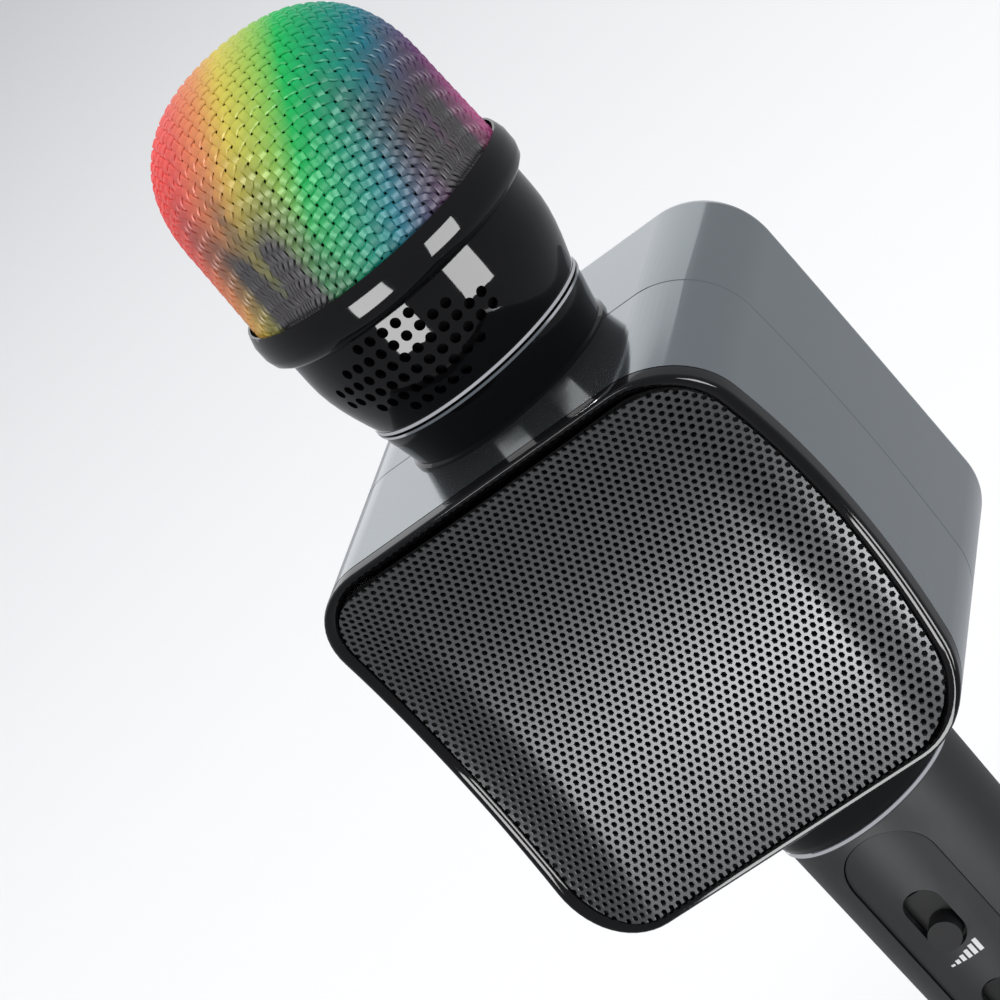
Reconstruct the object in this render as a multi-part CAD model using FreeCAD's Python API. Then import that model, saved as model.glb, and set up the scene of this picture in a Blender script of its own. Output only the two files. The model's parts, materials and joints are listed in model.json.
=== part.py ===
import FreeCAD, Part
import math
import os

# Hand-held toy karaoke microphone with a built-in speaker box. Millimetres.
# +Z runs up the microphone's axis from the end cap to the wire head, and the speaker faces -Y.
# The origin is the centre of the end cap's flat bottom face.

V = FreeCAD.Vector

# ---- driving sizes ---------------------------------------------------------------------------
box_width = 86.0            # speaker box, across X at mid height
box_height = 82.3           # speaker box, along Z
front_depth = 29.9          # from the microphone's axis to the front rim, at mid height
back_depth = 32.2           # from the axis to the back, at mid height
front_waist = 9.2           # how much further out the front rim stands at the top and bottom
back_waist = 6.0            # the same for the back
side_bulge = 2.2            # outward bow of the left and right sides
box_corner = 14.5           # corner radius of the box's front outline
box_wall = 2.2
box_centre_z = 148.0
bezel_width = 2.4           # width of the gloss frame round the grille
bezel_depth = 4.0           # how far the frame reaches back
grille_sheet = 0.8
grille_crown = 3.0
grille_gap = 0.15           # play between grille and frame
back_edge_round = 4.0

handle_top_radius = 17.9
handle_bottom_radius = 16.4
handle_wall = 2.2
handle_ring_height = 1.4
lower_neck_height = 12.8    # from the bright ring to the box
end_cap_height = 8.0
plug_fit = 0.1              # radial play of a plug in a tube

neck_radius = 20.3          # where the neck meets the box
neck_top_radius = 21.9
neck_height = 8.3
trim_ring_height = 1.5
cup_height = 18.4
cup_top_radius = 25.1
cup_wall = 2.0
vent_radius = 0.95
vent_pitch = 2.8
vent_counts = (5, 9, 13, 13, 9, 5)      # holes in each row, from the top
vent_drop = 1.6             # from the cup's top to the middle of the first row
collar_radius = 27.8
collar_height = 8.0
mesh_radius = 26.6
mesh_thickness = 1.0
mesh_height = 42.65         # from the seat in the collar to the top of the dome
mesh_dome_height = 24.5     # the part of that height which is curved
mesh_taper = 0.7            # how much narrower the head is where the dome starts
dome_power = 2.5            # squareness of the dome's outline
dome_points = 9

panel_half_width = 8.6
panel_length = 72.0
panel_groove = 0.25
panel_sink = 0.4            # how far the panel lies below the handle's skin
slot_width = 7.4
slot_length = 13.4
slot_drop = 19.7            # from the panel's top to the middle of the upper slot
knob_radius = 3.05
knob_stand = 1.5            # knob height above the panel
slider_pitch = 22.0         # distance between the two slider slots
button_drop = 9.0           # from the lower slot's end to the middle of the first button
button_radius = 3.0
button_play = 0.15
button_stand = 0.7
button_travel = 0.5
button_pitch = 7.4

driver_radius = 28.0        # speaker flange
driver_hole = 24.5          # hole in the baffle
cone_radius = 19.0
magnet_radius = 16.0
radiator_radius = 27.0      # passive radiator flange
radiator_plate_radius = 18.0
rear_hole = 24.0
plate_gap = 0.3             # clearance between a moving cone and its surround

cell_radius = 9.2
cell_length = 65.0
cell_lift = 21.0            # foot of the cell above the end cap's face
board_thickness = 1.6
screw_radius = 1.3
screw_head_radius = 2.4
lead_radius = 1.0
fit_gap = 0.1               # play between parts that sit in one another

# ---- worked-out sizes ------------------------------------------------------------------------
half_w = box_width / 2
half_h = box_height / 2
box_top = box_centre_z + half_h
box_bottom = box_centre_z - half_h
handle_top = box_bottom - lower_neck_height - handle_ring_height
front_curve = (half_h ** 2 + front_waist ** 2) / (2 * front_waist)
back_curve = (half_h ** 2 + back_waist ** 2) / (2 * back_waist)
neck_top = box_top + neck_height
cup_bottom = neck_top + trim_ring_height
cup_top = cup_bottom + cup_height
collar_top = cup_top + collar_height
mesh_seat = cup_top + 4.5
mesh_top = mesh_seat + mesh_height
stem_radius = 15.0
stem_bore = 12.0
reach = 400.0               # longer than any part, for cutting tools

# speaker box and what it carries
baffle_front = -front_depth + 5.5
baffle_back = baffle_front + 2.5
boss_x = half_w - 9.5
boss_z = half_h - 10.5
boss_radius = 3.4
baffle_ledge = 2.0
screw_places = [(sx * boss_x, box_centre_z + sz * boss_z) for sx in (-1, 1) for sz in (-1, 1)]
screw_head_y = 8.0
screw_head_height = 1.6
screw_end_y = -9.0
rear_seat_y = back_depth - 5.5          # flat seat of the passive radiator
rear_bore = rear_hole - 1.5
board_y = 9.0
board_half_w = 29.0
board_half_h = 27.0
post_x = 25.0
post_z = 20.0

# speaker driver
flange_y = baffle_front - 1.6
back_plate_y = flange_y + 16.0
magnet_y = back_plate_y + 2.0
magnet_depth = 8.0
coil_radius = 6.6
cone_depth = 9.0
spider_y = back_plate_y - 4.0
driver_screw_circle = 26.2
window_circle = 20.0        # middle of the openings in the basket's cone
window_radius = 3.5

# neck and head
cloth_gap = 0.08
diffuser_height = 1.6
diffuser_play = 0.25
foam_gap = 0.15
foam_thickness = 3.0
holder_radius = 9.0
capsule_radius = 7.0
holder_top = mesh_seat + 14.0
disc_top = cup_top + 2.0
light_board_top = disc_top + 1.2

# handle, controls and ports
panel_top = handle_top - 1.4
panel_bottom = panel_top - panel_length
volume_z = panel_top - slot_drop
echo_z = volume_z - slider_pitch
slot_travel = slot_length - slot_width
button_z = echo_z - slot_length / 2 - button_drop
panel_skin = 1.8
button_places = [(0.0, button_z), (-4.2, button_z - button_pitch), (4.2, button_z - button_pitch)]
light_radius = 0.9
light_z = panel_bottom + 3.2
skirt_thickness = 1.0
skirt_half_width = 4.4
skirt_overlap = 5.0
skirt_gap = 0.3
pot_y = -12.0
control_board_y = -9.6
control_board_thickness = 1.2
switch_y = control_board_y - 1.6
cell_y = 3.2
cell_bottom = cell_lift
cap_boss_height = 7.0
cap_screw_x = 10.5
cap_screw_y = 4.0
cap_screw_radius = 0.85
plug_top = end_cap_height + 4.0
plug_radius = handle_bottom_radius - handle_wall - plug_fit
usb_x = -5.4
usb_width = 9.0
usb_height = 3.3
jack_x = 5.2
jack_nose = 3.0
jack_bore = 1.8
port_board_z = 10.6


# ---- helpers ---------------------------------------------------------------------------------
def save(shape, node):
    shape.exportStep("parts/" + node + ".step")


def block(x0, x1, y0, y1, z0, z1):
    return Part.makeBox(x1 - x0, y1 - y0, z1 - z0, V(x0, y0, z0))


def rod(radius, start, end):
    axis = end - start
    return Part.makeCylinder(radius, axis.Length, start, axis)


def rod_z(radius, z0, z1, x=0.0, y=0.0):
    return rod(radius, V(x, y, z0), V(x, y, z1))


def rod_y(radius, y0, y1, x=0.0, z=box_centre_z):
    return rod(radius, V(x, y0, z), V(x, y1, z))


def ring_z(outer, inner, z0, z1):
    return rod_z(outer, z0, z1).cut(rod_z(inner, z0, z1))


def ring_y(outer, inner, y0, y1, x=0.0, z=box_centre_z):
    return rod_y(outer, y0, y1, x, z).cut(rod_y(inner, y0, y1, x, z))


def fuse(shapes):
    result = shapes[0]
    for shape in shapes[1:]:
        result = result.fuse(shape)
    return result.removeSplitter()


def lathe(points):
    """Turn a closed outline of (radius, z) points about the microphone's axis."""
    corners = [V(r, 0, z) for r, z in points]
    face = Part.Face(Part.makePolygon(corners + corners[:1]))
    return face.revolve(V(0, 0, 0), V(0, 0, 1), 360)


def lathe_y(points):
    """Turn a closed outline of (radius, y) points about the speaker's axis."""
    corners = [V(r, y, box_centre_z) for r, y in points]
    face = Part.Face(Part.makePolygon(corners + corners[:1]))
    return face.revolve(V(0, 0, box_centre_z), V(0, 1, 0), 360)


def arc(start, middle, end):
    return Part.Arc(start, middle, end).toShape()


def line(start, end):
    return Part.LineSegment(start, end).toShape()


# ---- speaker box shapes ----------------------------------------------------------------------
def box_prism(inset):
    """The box's front outline, moved in by inset, as a long bar along Y."""
    w = half_w - inset
    h = half_h - inset
    wc = w - side_bulge
    corners = [V(-wc, -reach / 2, -h), V(wc, -reach / 2, -h), V(wc, -reach / 2, h), V(-wc, -reach / 2, h)]
    edges = [
        line(corners[0], corners[1]),
        arc(corners[1], V(w, -reach / 2, 0), corners[2]),
        line(corners[2], corners[3]),
        arc(corners[3], V(-w, -reach / 2, 0), corners[0]),
    ]
    bar = Part.Face(Part.Wire(edges)).extrude(V(0, reach, 0))
    long_edges = [e for e in bar.Edges if abs(e.BoundBox.YLength - reach) < 0.001]
    bar = bar.makeFillet(max(box_corner - inset, 1.0), long_edges)
    bar.translate(V(0, 0, box_centre_z))
    return bar


def saddle(z, inset, depth, curve):
    """Distance from the axis to a hollow surface at height z above the box's centre, moved in by inset."""
    return depth + curve - math.sqrt((curve + inset) ** 2 - z ** 2)


def front_y(z, inset):
    return -saddle(z, inset, front_depth, front_curve)


def back_y(z, inset):
    return saddle(z, inset, back_depth, back_curve)


def slab(front_inset=None, back_inset=None, front_flat=0.0, back_flat=0.0):
    """The space between the hollow front surface and the back one, each moved in by its inset.

    Without an inset, that end is flat, at front_flat or back_flat.
    """
    top = half_h + 5
    side = -reach / 2

    def end(surface, inset, flat):
        if inset is None:
            return flat, lambda a, b: line(V(side, flat, a), V(side, flat, b))
        y_top = surface(top, inset)
        return y_top, lambda a, b: arc(V(side, y_top, a), V(side, surface(0, inset), 0), V(side, y_top, b))

    y_front, front_edge = end(front_y, front_inset, front_flat)
    y_back, back_edge = end(back_y, back_inset, back_flat)
    edges = [
        front_edge(-top, top),
        line(V(side, y_front, top), V(side, y_back, top)),
        back_edge(top, -top),
        line(V(side, y_back, -top), V(side, y_front, -top)),
    ]
    shape = Part.Face(Part.Wire(edges)).extrude(V(reach, 0, 0))
    shape.translate(V(0, 0, box_centre_z))
    return shape


def front_housing():
    shell = box_prism(0).common(slab(bezel_depth))
    hollow = box_prism(box_wall).common(slab(bezel_depth - 1, back_flat=1))
    ledge_outer = box_prism(box_wall - 0.5).common(slab(front_flat=baffle_back, back_flat=baffle_back + 2))
    ledge = ledge_outer.cut(box_prism(box_wall + baffle_ledge))
    bosses = [rod_y(boss_radius, baffle_back, 0, x, z) for x, z in screw_places]
    pilots = [rod_y(screw_radius, screw_end_y, 1, x, z) for x, z in screw_places]
    body = fuse([shell.cut(hollow), ledge] + [b.common(box_prism(0.5)) for b in bosses])
    body = body.cut(Part.makeCompound(pilots))
    return body.cut(neck_holes())


def neck_holes():
    top = rod_z(stem_radius + fit_gap, box_top - box_wall - 1, box_top + 1)
    bottom = rod_z(stem_radius + fit_gap, box_bottom - 1, box_bottom + box_wall + 1)
    return Part.makeCompound([top, bottom])


def rear_housing():
    shell = box_prism(0).common(slab(back_inset=0))
    rim = [e for e in shell.Edges if e.BoundBox.YMin > back_depth - 1]
    shell = shell.makeFillet(back_edge_round, rim)
    hollow = box_prism(box_wall).common(slab(back_inset=box_wall + 0.3, front_flat=-1))
    seat = rod_y(radiator_radius + 1, rear_seat_y, back_depth - 1)
    body = fuse([shell.cut(hollow), seat.common(slab(back_inset=0.5))])
    body = body.cut(rod_y(rear_bore, 0, reach / 2))
    body = body.cut(rod_y(rear_hole, back_depth - 3.2, reach / 2))
    towers = []
    bores = []
    for x, z in screw_places:
        towers.append(rod_y(boss_radius, 0, reach / 4, x, z))
        bores.append(rod_y(screw_radius + fit_gap, -1, reach / 2, x, z))
        bores.append(rod_y(screw_head_radius + fit_gap, screw_head_y, reach / 2, x, z))
    posts = [rod_y(2.2, board_y + board_thickness, reach / 4, sx * post_x, box_centre_z + sz * post_z)
             for sx in (-1, 1) for sz in (-1, 1)]
    inside = box_prism(0.5).common(slab(back_inset=0.5))
    body = fuse([body] + [t.common(inside) for t in towers + posts])
    body = body.cut(Part.makeCompound(bores))
    return body.cut(neck_holes())


def front_bezel():
    ring = box_prism(0).cut(box_prism(bezel_width)).common(slab(0)).cut(slab(bezel_depth))
    lip = box_prism(box_wall + fit_gap).cut(box_prism(box_wall + 1.2))
    lip = lip.common(slab(bezel_depth - 0.5)).cut(slab(bezel_depth + 1.0))
    return fuse([ring, lip])


def crowned_sheet(half_width, inset, thickness):
    """A sheet that follows the hollow front and bows forward across its width."""
    def bow(depth):
        edge = -front_depth + depth
        middle = edge - grille_crown
        return (V(-half_width, edge, 0), V(0, middle, 0), V(half_width, edge, 0))
    outer = bow(inset)
    inner = bow(inset + thickness)
    edges = [arc(*outer), line(outer[2], inner[2]), arc(inner[2], inner[1], inner[0]), line(inner[0], outer[0])]
    face = Part.Face(Part.Wire(edges))
    turn_centre = V(0, -front_depth - front_curve, 0)
    swing = math.degrees(math.asin((half_h + 2) / front_curve))
    face.rotate(turn_centre, V(1, 0, 0), -swing)
    sheet = face.revolve(turn_centre, V(1, 0, 0), 2 * swing)
    sheet.translate(V(0, 0, box_centre_z))
    return sheet


def front_grille():
    sheet = crowned_sheet(half_w, 0.6, grille_sheet)
    return sheet.common(box_prism(bezel_width + grille_gap))


def grille_cloth():
    sheet = crowned_sheet(half_w, 0.6 + grille_sheet + grille_gap, 0.4)
    return sheet.common(box_prism(bezel_width + grille_gap))


def speaker_baffle():
    plate = box_prism(box_wall + fit_gap).common(slab(front_flat=baffle_front, back_flat=baffle_back))
    plate = plate.cut(rod_y(driver_hole, baffle_front - 1, baffle_back + 1))
    holes = [rod_y(screw_radius, baffle_front - 1, baffle_back + 1, x, z) for x, z in driver_screw_places()]
    return plate.cut(Part.makeCompound(holes))


# ---- speaker driver --------------------------------------------------------------------------


def driver_screw_places():
    """The four screw places (x, z) round the driver."""
    turns = [math.radians(45 + 90 * i) for i in range(4)]
    r = driver_screw_circle
    return [(r * math.cos(a), box_centre_z + r * math.sin(a)) for a in turns]


def driver_basket():
    outline = [
        (driver_hole - 0.2, flange_y), (driver_radius, flange_y), (driver_radius, baffle_front),
        (driver_hole - 0.2, baffle_front), (magnet_radius, back_plate_y), (magnet_radius, magnet_y),
        (coil_radius + 0.9, magnet_y), (coil_radius + 0.9, back_plate_y + 1),
        (magnet_radius - 1.4, back_plate_y),
        (driver_hole - 1.4, baffle_front),
    ]
    frame = lathe_y(outline)
    holes = [rod_y(screw_radius, flange_y - 1, baffle_front + 1, x, z) for x, z in driver_screw_places()]
    centre = V(0, (baffle_front + back_plate_y) / 2, box_centre_z)
    windows = []
    for side in (V(1, 0, 0), V(0, 0, 1), V(-1, 0, 0), V(0, 0, -1)):
        windows.append(rod(window_radius, centre, centre + side * (window_circle + 6)))
    return frame.cut(Part.makeCompound(holes + windows))


def driver_magnet():
    body = rod_y(magnet_radius, magnet_y, magnet_y + magnet_depth)
    gap = ring_y(coil_radius + 0.9, coil_radius - 1.0, magnet_y, magnet_y + 4)
    pole = rod_y(coil_radius - 1.0, back_plate_y + 0.5, magnet_y + 0.5)
    return fuse([body.cut(gap), pole])


def driver_cone():
    y0 = flange_y + 0.4
    outline = [
        (cone_radius, y0), (cone_radius, y0 + 0.6), (coil_radius, y0 + cone_depth + 0.6),
        (coil_radius, back_plate_y + 1.2), (coil_radius - 0.4, back_plate_y + 1.2),
        (coil_radius - 0.4, y0 + cone_depth - 1.5), (0, y0 + cone_depth - 4.0), (0, y0 + cone_depth - 4.6),
        (coil_radius - 0.2, y0 + cone_depth - 2.0), (coil_radius, y0 + cone_depth - 0.2),
        (cone_radius - 0.8, y0),
    ]
    return lathe_y(outline)


def driver_surround():
    y0 = flange_y + 0.4
    outer = driver_hole - 0.4
    inner = cone_radius + plate_gap
    outline = [
        (outer + 1.5, flange_y), (outer + 1.5, flange_y - 0.6), (outer - 0.2, flange_y - 0.6),
        ((outer + inner) / 2 + 1.2, flange_y - 2.2), ((outer + inner) / 2 - 1.2, flange_y - 2.2),
        (inner, y0 - 0.4), (inner, y0 + 0.2), (inner + 0.6, y0 + 0.2),
        ((outer + inner) / 2 - 0.9, flange_y - 1.6), ((outer + inner) / 2 + 0.9, flange_y - 1.6),
        (outer - 0.6, flange_y),
    ]
    return lathe_y(outline)


def driver_spider():
    wall = driver_hole - 1.4 - (driver_hole - magnet_radius) * (
        (spider_y - baffle_front) / (back_plate_y - baffle_front))
    outline = [
        (wall, spider_y), (wall - 1.2, spider_y), (coil_radius + 3.5, spider_y - 0.8),
        (coil_radius + 1.5, spider_y),
        (coil_radius + plate_gap, spider_y), (coil_radius + plate_gap, spider_y + 0.5),
        (coil_radius + 1.5, spider_y + 0.5), (coil_radius + 3.5, spider_y - 0.3), (wall - 1.2, spider_y + 0.5),
        (wall - 0.6, spider_y + 0.5),
    ]
    return lathe_y(outline)


def driver_gasket():
    return ring_y(driver_radius, driver_hole + 1.2, flange_y - 1.2, flange_y)


def driver_screws():
    return Part.makeCompound([rod_y(screw_radius, flange_y, baffle_back + 1.5, x, z)
                              for x, z in driver_screw_places()])


# ---- passive radiator and back of the box ----------------------------------------------------
def radiator_frame():
    return ring_y(radiator_radius, rear_bore, rear_seat_y - 2.0, rear_seat_y)


def radiator_surround():
    y0 = rear_seat_y - 1.0
    inner = radiator_plate_radius + plate_gap
    middle = (rear_bore + inner) / 2
    outline = [
        (rear_bore, y0 - 0.4), (rear_bore, y0 + 0.4), (middle + 0.8, y0 + 1.8), (middle - 0.8, y0 + 1.8),
        (inner, y0 + 0.4), (inner, y0 - 0.4), (middle - 0.6, y0 + 1.1), (middle + 0.6, y0 + 1.1),
    ]
    return lathe_y(outline)


def radiator_plate():
    y0 = rear_seat_y - 1.0
    disc = rod_y(radiator_plate_radius, y0 - 0.6, y0 + 0.6)
    weight = rod_y(7.0, y0 - 3.0, y0 - 0.6)
    return fuse([disc, weight])


def rear_grille():
    plate_y = back_depth - 3.2
    plate = rod_y(rear_hole - fit_gap, plate_y, plate_y + 1.6)
    slots = []
    slot_step = 4.2
    for row in range(-4, 5):
        z = row * slot_step
        half = math.sqrt((rear_hole - 4.0) ** 2 - z ** 2) - 1.0
        bar = block(-half, half, plate_y - 1, plate_y + 3, box_centre_z + z - 0.9, box_centre_z + z + 0.9)
        slots.append(bar)
    return plate.cut(Part.makeCompound(slots))


def housing_screws():
    screws = []
    for x, z in screw_places:
        shank = rod_y(screw_radius, screw_end_y + 1, screw_head_y, x, z)
        head = rod_y(screw_head_radius, screw_head_y, screw_head_y + screw_head_height, x, z)
        drive = rod_y(0.9, screw_head_y + 0.7, screw_head_y + screw_head_height + 1, x, z)
        screws.append(fuse([shank, head]).cut(drive))
    return Part.makeCompound(screws)


def main_board():
    return block(-board_half_w, board_half_w, board_y, board_y + board_thickness,
                 box_centre_z - board_half_h, box_centre_z + board_half_h)


def board_parts():
    back = board_y + board_thickness
    amplifier = block(-5, 5, back, back + 1.4, box_centre_z - 6, box_centre_z + 4)
    radio = block(-16, -4, back, back + 2.2, box_centre_z + 9, box_centre_z + 24)
    coil = block(6, 12, back, back + 3.0, box_centre_z + 11, box_centre_z + 17)
    cans = [rod_y(3.0, back, back + 7.0, x, box_centre_z - 14) for x in (-14.0, -6.5, 6.5)]
    plug = block(13, 21, board_y - 5, board_y, box_centre_z - 24, box_centre_z - 18)
    return Part.makeCompound([amplifier, radio, coil, plug] + cans)


# ---- neck and head ---------------------------------------------------------------------------
def neck_band():
    outline = [
        (stem_radius, box_top), (neck_radius + 0.6, box_top), (neck_radius + 0.6, box_top + 0.5),
        (neck_radius, box_top + 0.9), (neck_radius + 0.4, box_top + neck_height * 0.35),
        (neck_top_radius - 0.3, box_top + neck_height * 0.8), (neck_top_radius - 0.1, neck_top),
        (stem_radius, neck_top),
    ]
    return lathe(outline)


def cup_trim_ring():
    groove = trim_ring_height / 2
    outline = [
        (stem_radius, neck_top), (neck_top_radius + 0.2, neck_top), (neck_top_radius + 0.3, neck_top + 0.5),
        (neck_top_radius - 0.1, neck_top + groove), (neck_top_radius + 0.3, cup_bottom - 0.5),
        (neck_top_radius + 0.2, cup_bottom), (stem_radius, cup_bottom),
    ]
    return lathe(outline)


def neck_stem():
    tube = ring_z(stem_radius - fit_gap / 2, stem_bore, box_top - box_wall - 2, cup_bottom + cup_wall)
    flange = ring_z(stem_radius + 3, stem_bore, box_top - box_wall - 2, box_top - box_wall)
    return fuse([tube, flange])


def cup_radius(share):
    """Outer radius of the bell-shaped cup at a share of its height, from the bottom."""
    rise = cup_top_radius - neck_top_radius
    return neck_top_radius + rise * math.sin(min(share * 1.35, 1.0) * math.pi / 2)


def vent_cup():
    steps = 8
    outer = [(cup_radius(i / steps), cup_bottom + cup_height * i / steps) for i in range(steps + 1)]
    inner = [(r - cup_wall, z) for r, z in outer]
    inner[0] = (cup_radius(0) - cup_wall, cup_bottom + cup_wall)
    floor = [(stem_radius, cup_bottom + cup_wall), (stem_radius, cup_bottom)]
    cup = lathe(outer + inner[::-1] + floor)
    return cup.cut(vent_drills())


def vent_drills():
    """Rows of round holes over the front of the cup."""
    drills = []
    for row, count in enumerate(vent_counts):
        z = cup_top - vent_drop - row * vent_pitch
        wall = cup_radius((z - cup_bottom) / cup_height)
        for column in range(count):
            angle = (column - (count - 1) / 2) * vent_pitch / wall
            direction = V(math.sin(angle), -math.cos(angle), 0)
            foot = V(0, 0, z)
            drills.append(rod(vent_radius, foot + direction * (wall - 2 * cup_wall),
                              foot + direction * (wall + cup_wall)))
    return Part.makeCompound(drills)


def vent_cloth():
    low = 0.13
    high = 0.97
    steps = 5
    outer = []
    for i in range(steps + 1):
        share = low + (high - low) * i / steps
        outer.append((cup_radius(share) - cup_wall - cloth_gap, cup_bottom + cup_height * share))
    inner = [(r - 0.4, z) for r, z in outer]
    return lathe(outer + inner[::-1])


def head_collar():
    r = collar_radius
    z0 = cup_top
    z1 = collar_top
    outline = [
        (cup_top_radius - cup_wall + 0.8, z0), (cup_top_radius, z0), (r - 1.6, z0 + 0.5), (r - 0.5, z0 + 1.5),
        (r, z0 + 3.2), (r, z1 - 2.2), (r - 0.4, z1 - 0.8), (mesh_radius + 0.5, z1), (mesh_radius + fit_gap, z1),
        (mesh_radius + fit_gap, mesh_seat), (mesh_radius - 2.6, mesh_seat),
        (cup_top_radius - cup_wall + 0.8, mesh_seat - 1),
    ]
    return lathe(outline)


def dome(offset, base):
    """The wire head's outline, moved in by offset, as a solid standing on base.

    A straight wall narrows to the bend, and from there a rounded-square curve closes over the top.
    """
    wall_radius = mesh_radius - offset
    bend_radius = wall_radius - mesh_taper
    bend_z = mesh_top - mesh_dome_height
    rise = mesh_dome_height - offset
    curve = []
    for i in range(dome_points):
        angle = math.pi / 2 * i / (dome_points - 1)
        r = bend_radius * math.cos(angle) ** (2 / dome_power)
        z = bend_z + rise * math.sin(angle) ** (2 / dome_power)
        curve.append(V(0.0 if i == dome_points - 1 else r, 0, z))
    spline = Part.BSplineCurve()
    spline.interpolate(Points=curve, InitialTangent=V(0, 0, 1), FinalTangent=V(-1, 0, 0))
    edges = [
        line(V(wall_radius, 0, base), curve[0]),
        spline.toShape(),
        line(curve[-1], V(0, 0, base)),
        line(V(0, 0, base), V(wall_radius, 0, base)),
    ]
    return Part.Face(Part.Wire(edges)).revolve(V(0, 0, 0), V(0, 0, 1), 360)


def head_mesh():
    return dome(0, mesh_seat).cut(dome(mesh_thickness, mesh_seat - 1))


def head_foam():
    base = mesh_seat + diffuser_height + fit_gap
    outer = mesh_thickness + foam_gap
    return dome(outer, base).cut(dome(outer + foam_thickness, base - 1))


def capsule_holder():
    disc = rod_z(cup_top_radius - cup_wall + 0.7, cup_top, disc_top)
    tower = rod_z(holder_radius, cup_top, holder_top)
    seat = rod_z(capsule_radius + fit_gap, holder_top - 7, holder_top + 1)
    lead_hole = rod_z(lead_radius + 0.5, cup_top - 1, holder_top)
    return fuse([disc, tower]).cut(seat).cut(lead_hole)


def mic_capsule():
    return rod_z(capsule_radius, holder_top - 7, holder_top + 2)


def light_board():
    return ring_z(22.0, holder_radius + fit_gap, disc_top, light_board_top)


def light_leds():
    lamps = []
    count = 8
    size = 1.75
    for i in range(count):
        lamp = block(17 - size, 17 + size, -size, size, light_board_top, light_board_top + 1.1)
        lamp.rotate(V(0, 0, 0), V(0, 0, 1), 360 * i / count)
        lamps.append(lamp)
    return Part.makeCompound(lamps)


def light_diffuser():
    return ring_z(mesh_radius - mesh_thickness - diffuser_play, holder_radius + fit_gap, mesh_seat,
                  mesh_seat + diffuser_height)


# ---- handle ----------------------------------------------------------------------------------


def handle_radius(z):
    share = (z - end_cap_height) / (handle_top - end_cap_height)
    return handle_bottom_radius + (handle_top_radius - handle_bottom_radius) * share


def handle_cone(inset, z0, z1):
    """The handle's tapered outside, moved in by inset, between two heights."""
    return lathe([(0, z0), (handle_radius(z0) - inset, z0), (handle_radius(z1) - inset, z1), (0, z1)])


def stadium(half_width, z0, z1, y0=-reach / 4, y1=0.0):
    """A bar along Y with round ends, from z0 to z1."""
    body = block(-half_width, half_width, y0, y1, z0 + half_width, z1 - half_width)
    ends = [rod_y(half_width, y0, y1, 0, z) for z in (z0 + half_width, z1 - half_width)]
    return fuse([body] + ends)


def lower_neck():
    base = handle_top + handle_ring_height
    outline = [
        (stem_bore, base), (handle_top_radius + 0.5, base), (handle_top_radius + 0.9, base + 1.5),
        (handle_top_radius + 0.7, box_bottom - 4), (handle_top_radius + 2.2, box_bottom - 0.6),
        (handle_top_radius + 2.2, box_bottom), (stem_radius, box_bottom), (stem_radius, box_bottom + box_wall),
        (stem_radius + 3, box_bottom + box_wall), (stem_radius + 3, box_bottom + box_wall + 2),
        (stem_bore, box_bottom + box_wall + 2),
    ]
    return lathe(outline)


def handle_ring():
    z0 = handle_top
    z1 = handle_top + handle_ring_height
    r = handle_top_radius + 0.5
    middle = (z0 + z1) / 2
    outline = [
        (stem_bore, z0), (r - 0.4, z0), (r, middle - 0.3), (r, middle + 0.3), (r - 0.4, z1), (stem_bore, z1),
    ]
    return lathe(outline)


def handle_tube():
    tube = handle_cone(0, end_cap_height, handle_top).cut(
        handle_cone(handle_wall, end_cap_height - 1, handle_top + 1))
    groove = panel_groove
    tube = tube.cut(stadium(panel_half_width + groove, panel_bottom - groove, panel_top + groove))
    bosses = []
    pilots = []
    inside = handle_cone(handle_wall / 2, end_cap_height, handle_top)
    for side in (-1, 1):
        x = side * cap_screw_x
        bosses.append(rod_z(2.2, plug_top, plug_top + cap_boss_height, x, cap_screw_y).common(inside))
        bosses.append(block(min(x, side * 16), max(x, side * 16), cap_screw_y - 1.4, cap_screw_y + 1.4,
                            plug_top, plug_top + cap_boss_height).common(inside))
        pilots.append(rod_z(cap_screw_radius, plug_top - 1, plug_top + cap_boss_height + 1, x, cap_screw_y))
    return fuse([tube] + bosses).cut(Part.makeCompound(pilots))


def control_panel():
    skin = handle_cone(panel_sink, panel_bottom, panel_top).cut(
        handle_cone(panel_sink + panel_skin, panel_bottom - 1, panel_top + 1))
    panel = skin.common(stadium(panel_half_width, panel_bottom, panel_top))
    for z in (volume_z, echo_z):
        panel = panel.cut(stadium(slot_width / 2, z - slot_length / 2, z + slot_length / 2))
    holes = [rod_y(button_radius + button_play, -reach / 4, 0, x, z) for x, z in button_places]
    holes.append(rod_y(light_radius + fit_gap, -reach / 4, 0, 0, light_z))
    return panel.cut(Part.makeCompound(holes))


def slider_knob(z):
    """Round knob with the skirt behind the panel that keeps dust out of the slot."""
    rest_z = z - slot_travel / 2
    low = rest_z - skirt_overlap
    high = rest_z + slot_travel / 2 + skirt_overlap
    panel_inside = handle_radius(low) - panel_sink - panel_skin
    skirt_y = skirt_gap - math.sqrt(panel_inside ** 2 - skirt_half_width ** 2)
    face = -(handle_radius(z) - panel_sink + knob_stand)
    cap = rod_y(knob_radius, face, skirt_y, 0, rest_z)
    skirt = block(-skirt_half_width, skirt_half_width, skirt_y, skirt_y + skirt_thickness, low, high)
    fin = block(-0.6, 0.6, skirt_y + skirt_thickness, pot_y + 0.9, rest_z - 1.5, rest_z + 1.5)
    return fuse([cap, skirt, fin])


def slider_pot(z):
    body = block(-3.5, 3.5, pot_y, control_board_y, z - 9.5, z + 9.5)
    track = block(-0.9, 0.9, pot_y - 1, pot_y + 1.4, z - slot_travel / 2 - 2, z + slot_travel / 2 + 2)
    return body.cut(track)


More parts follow.
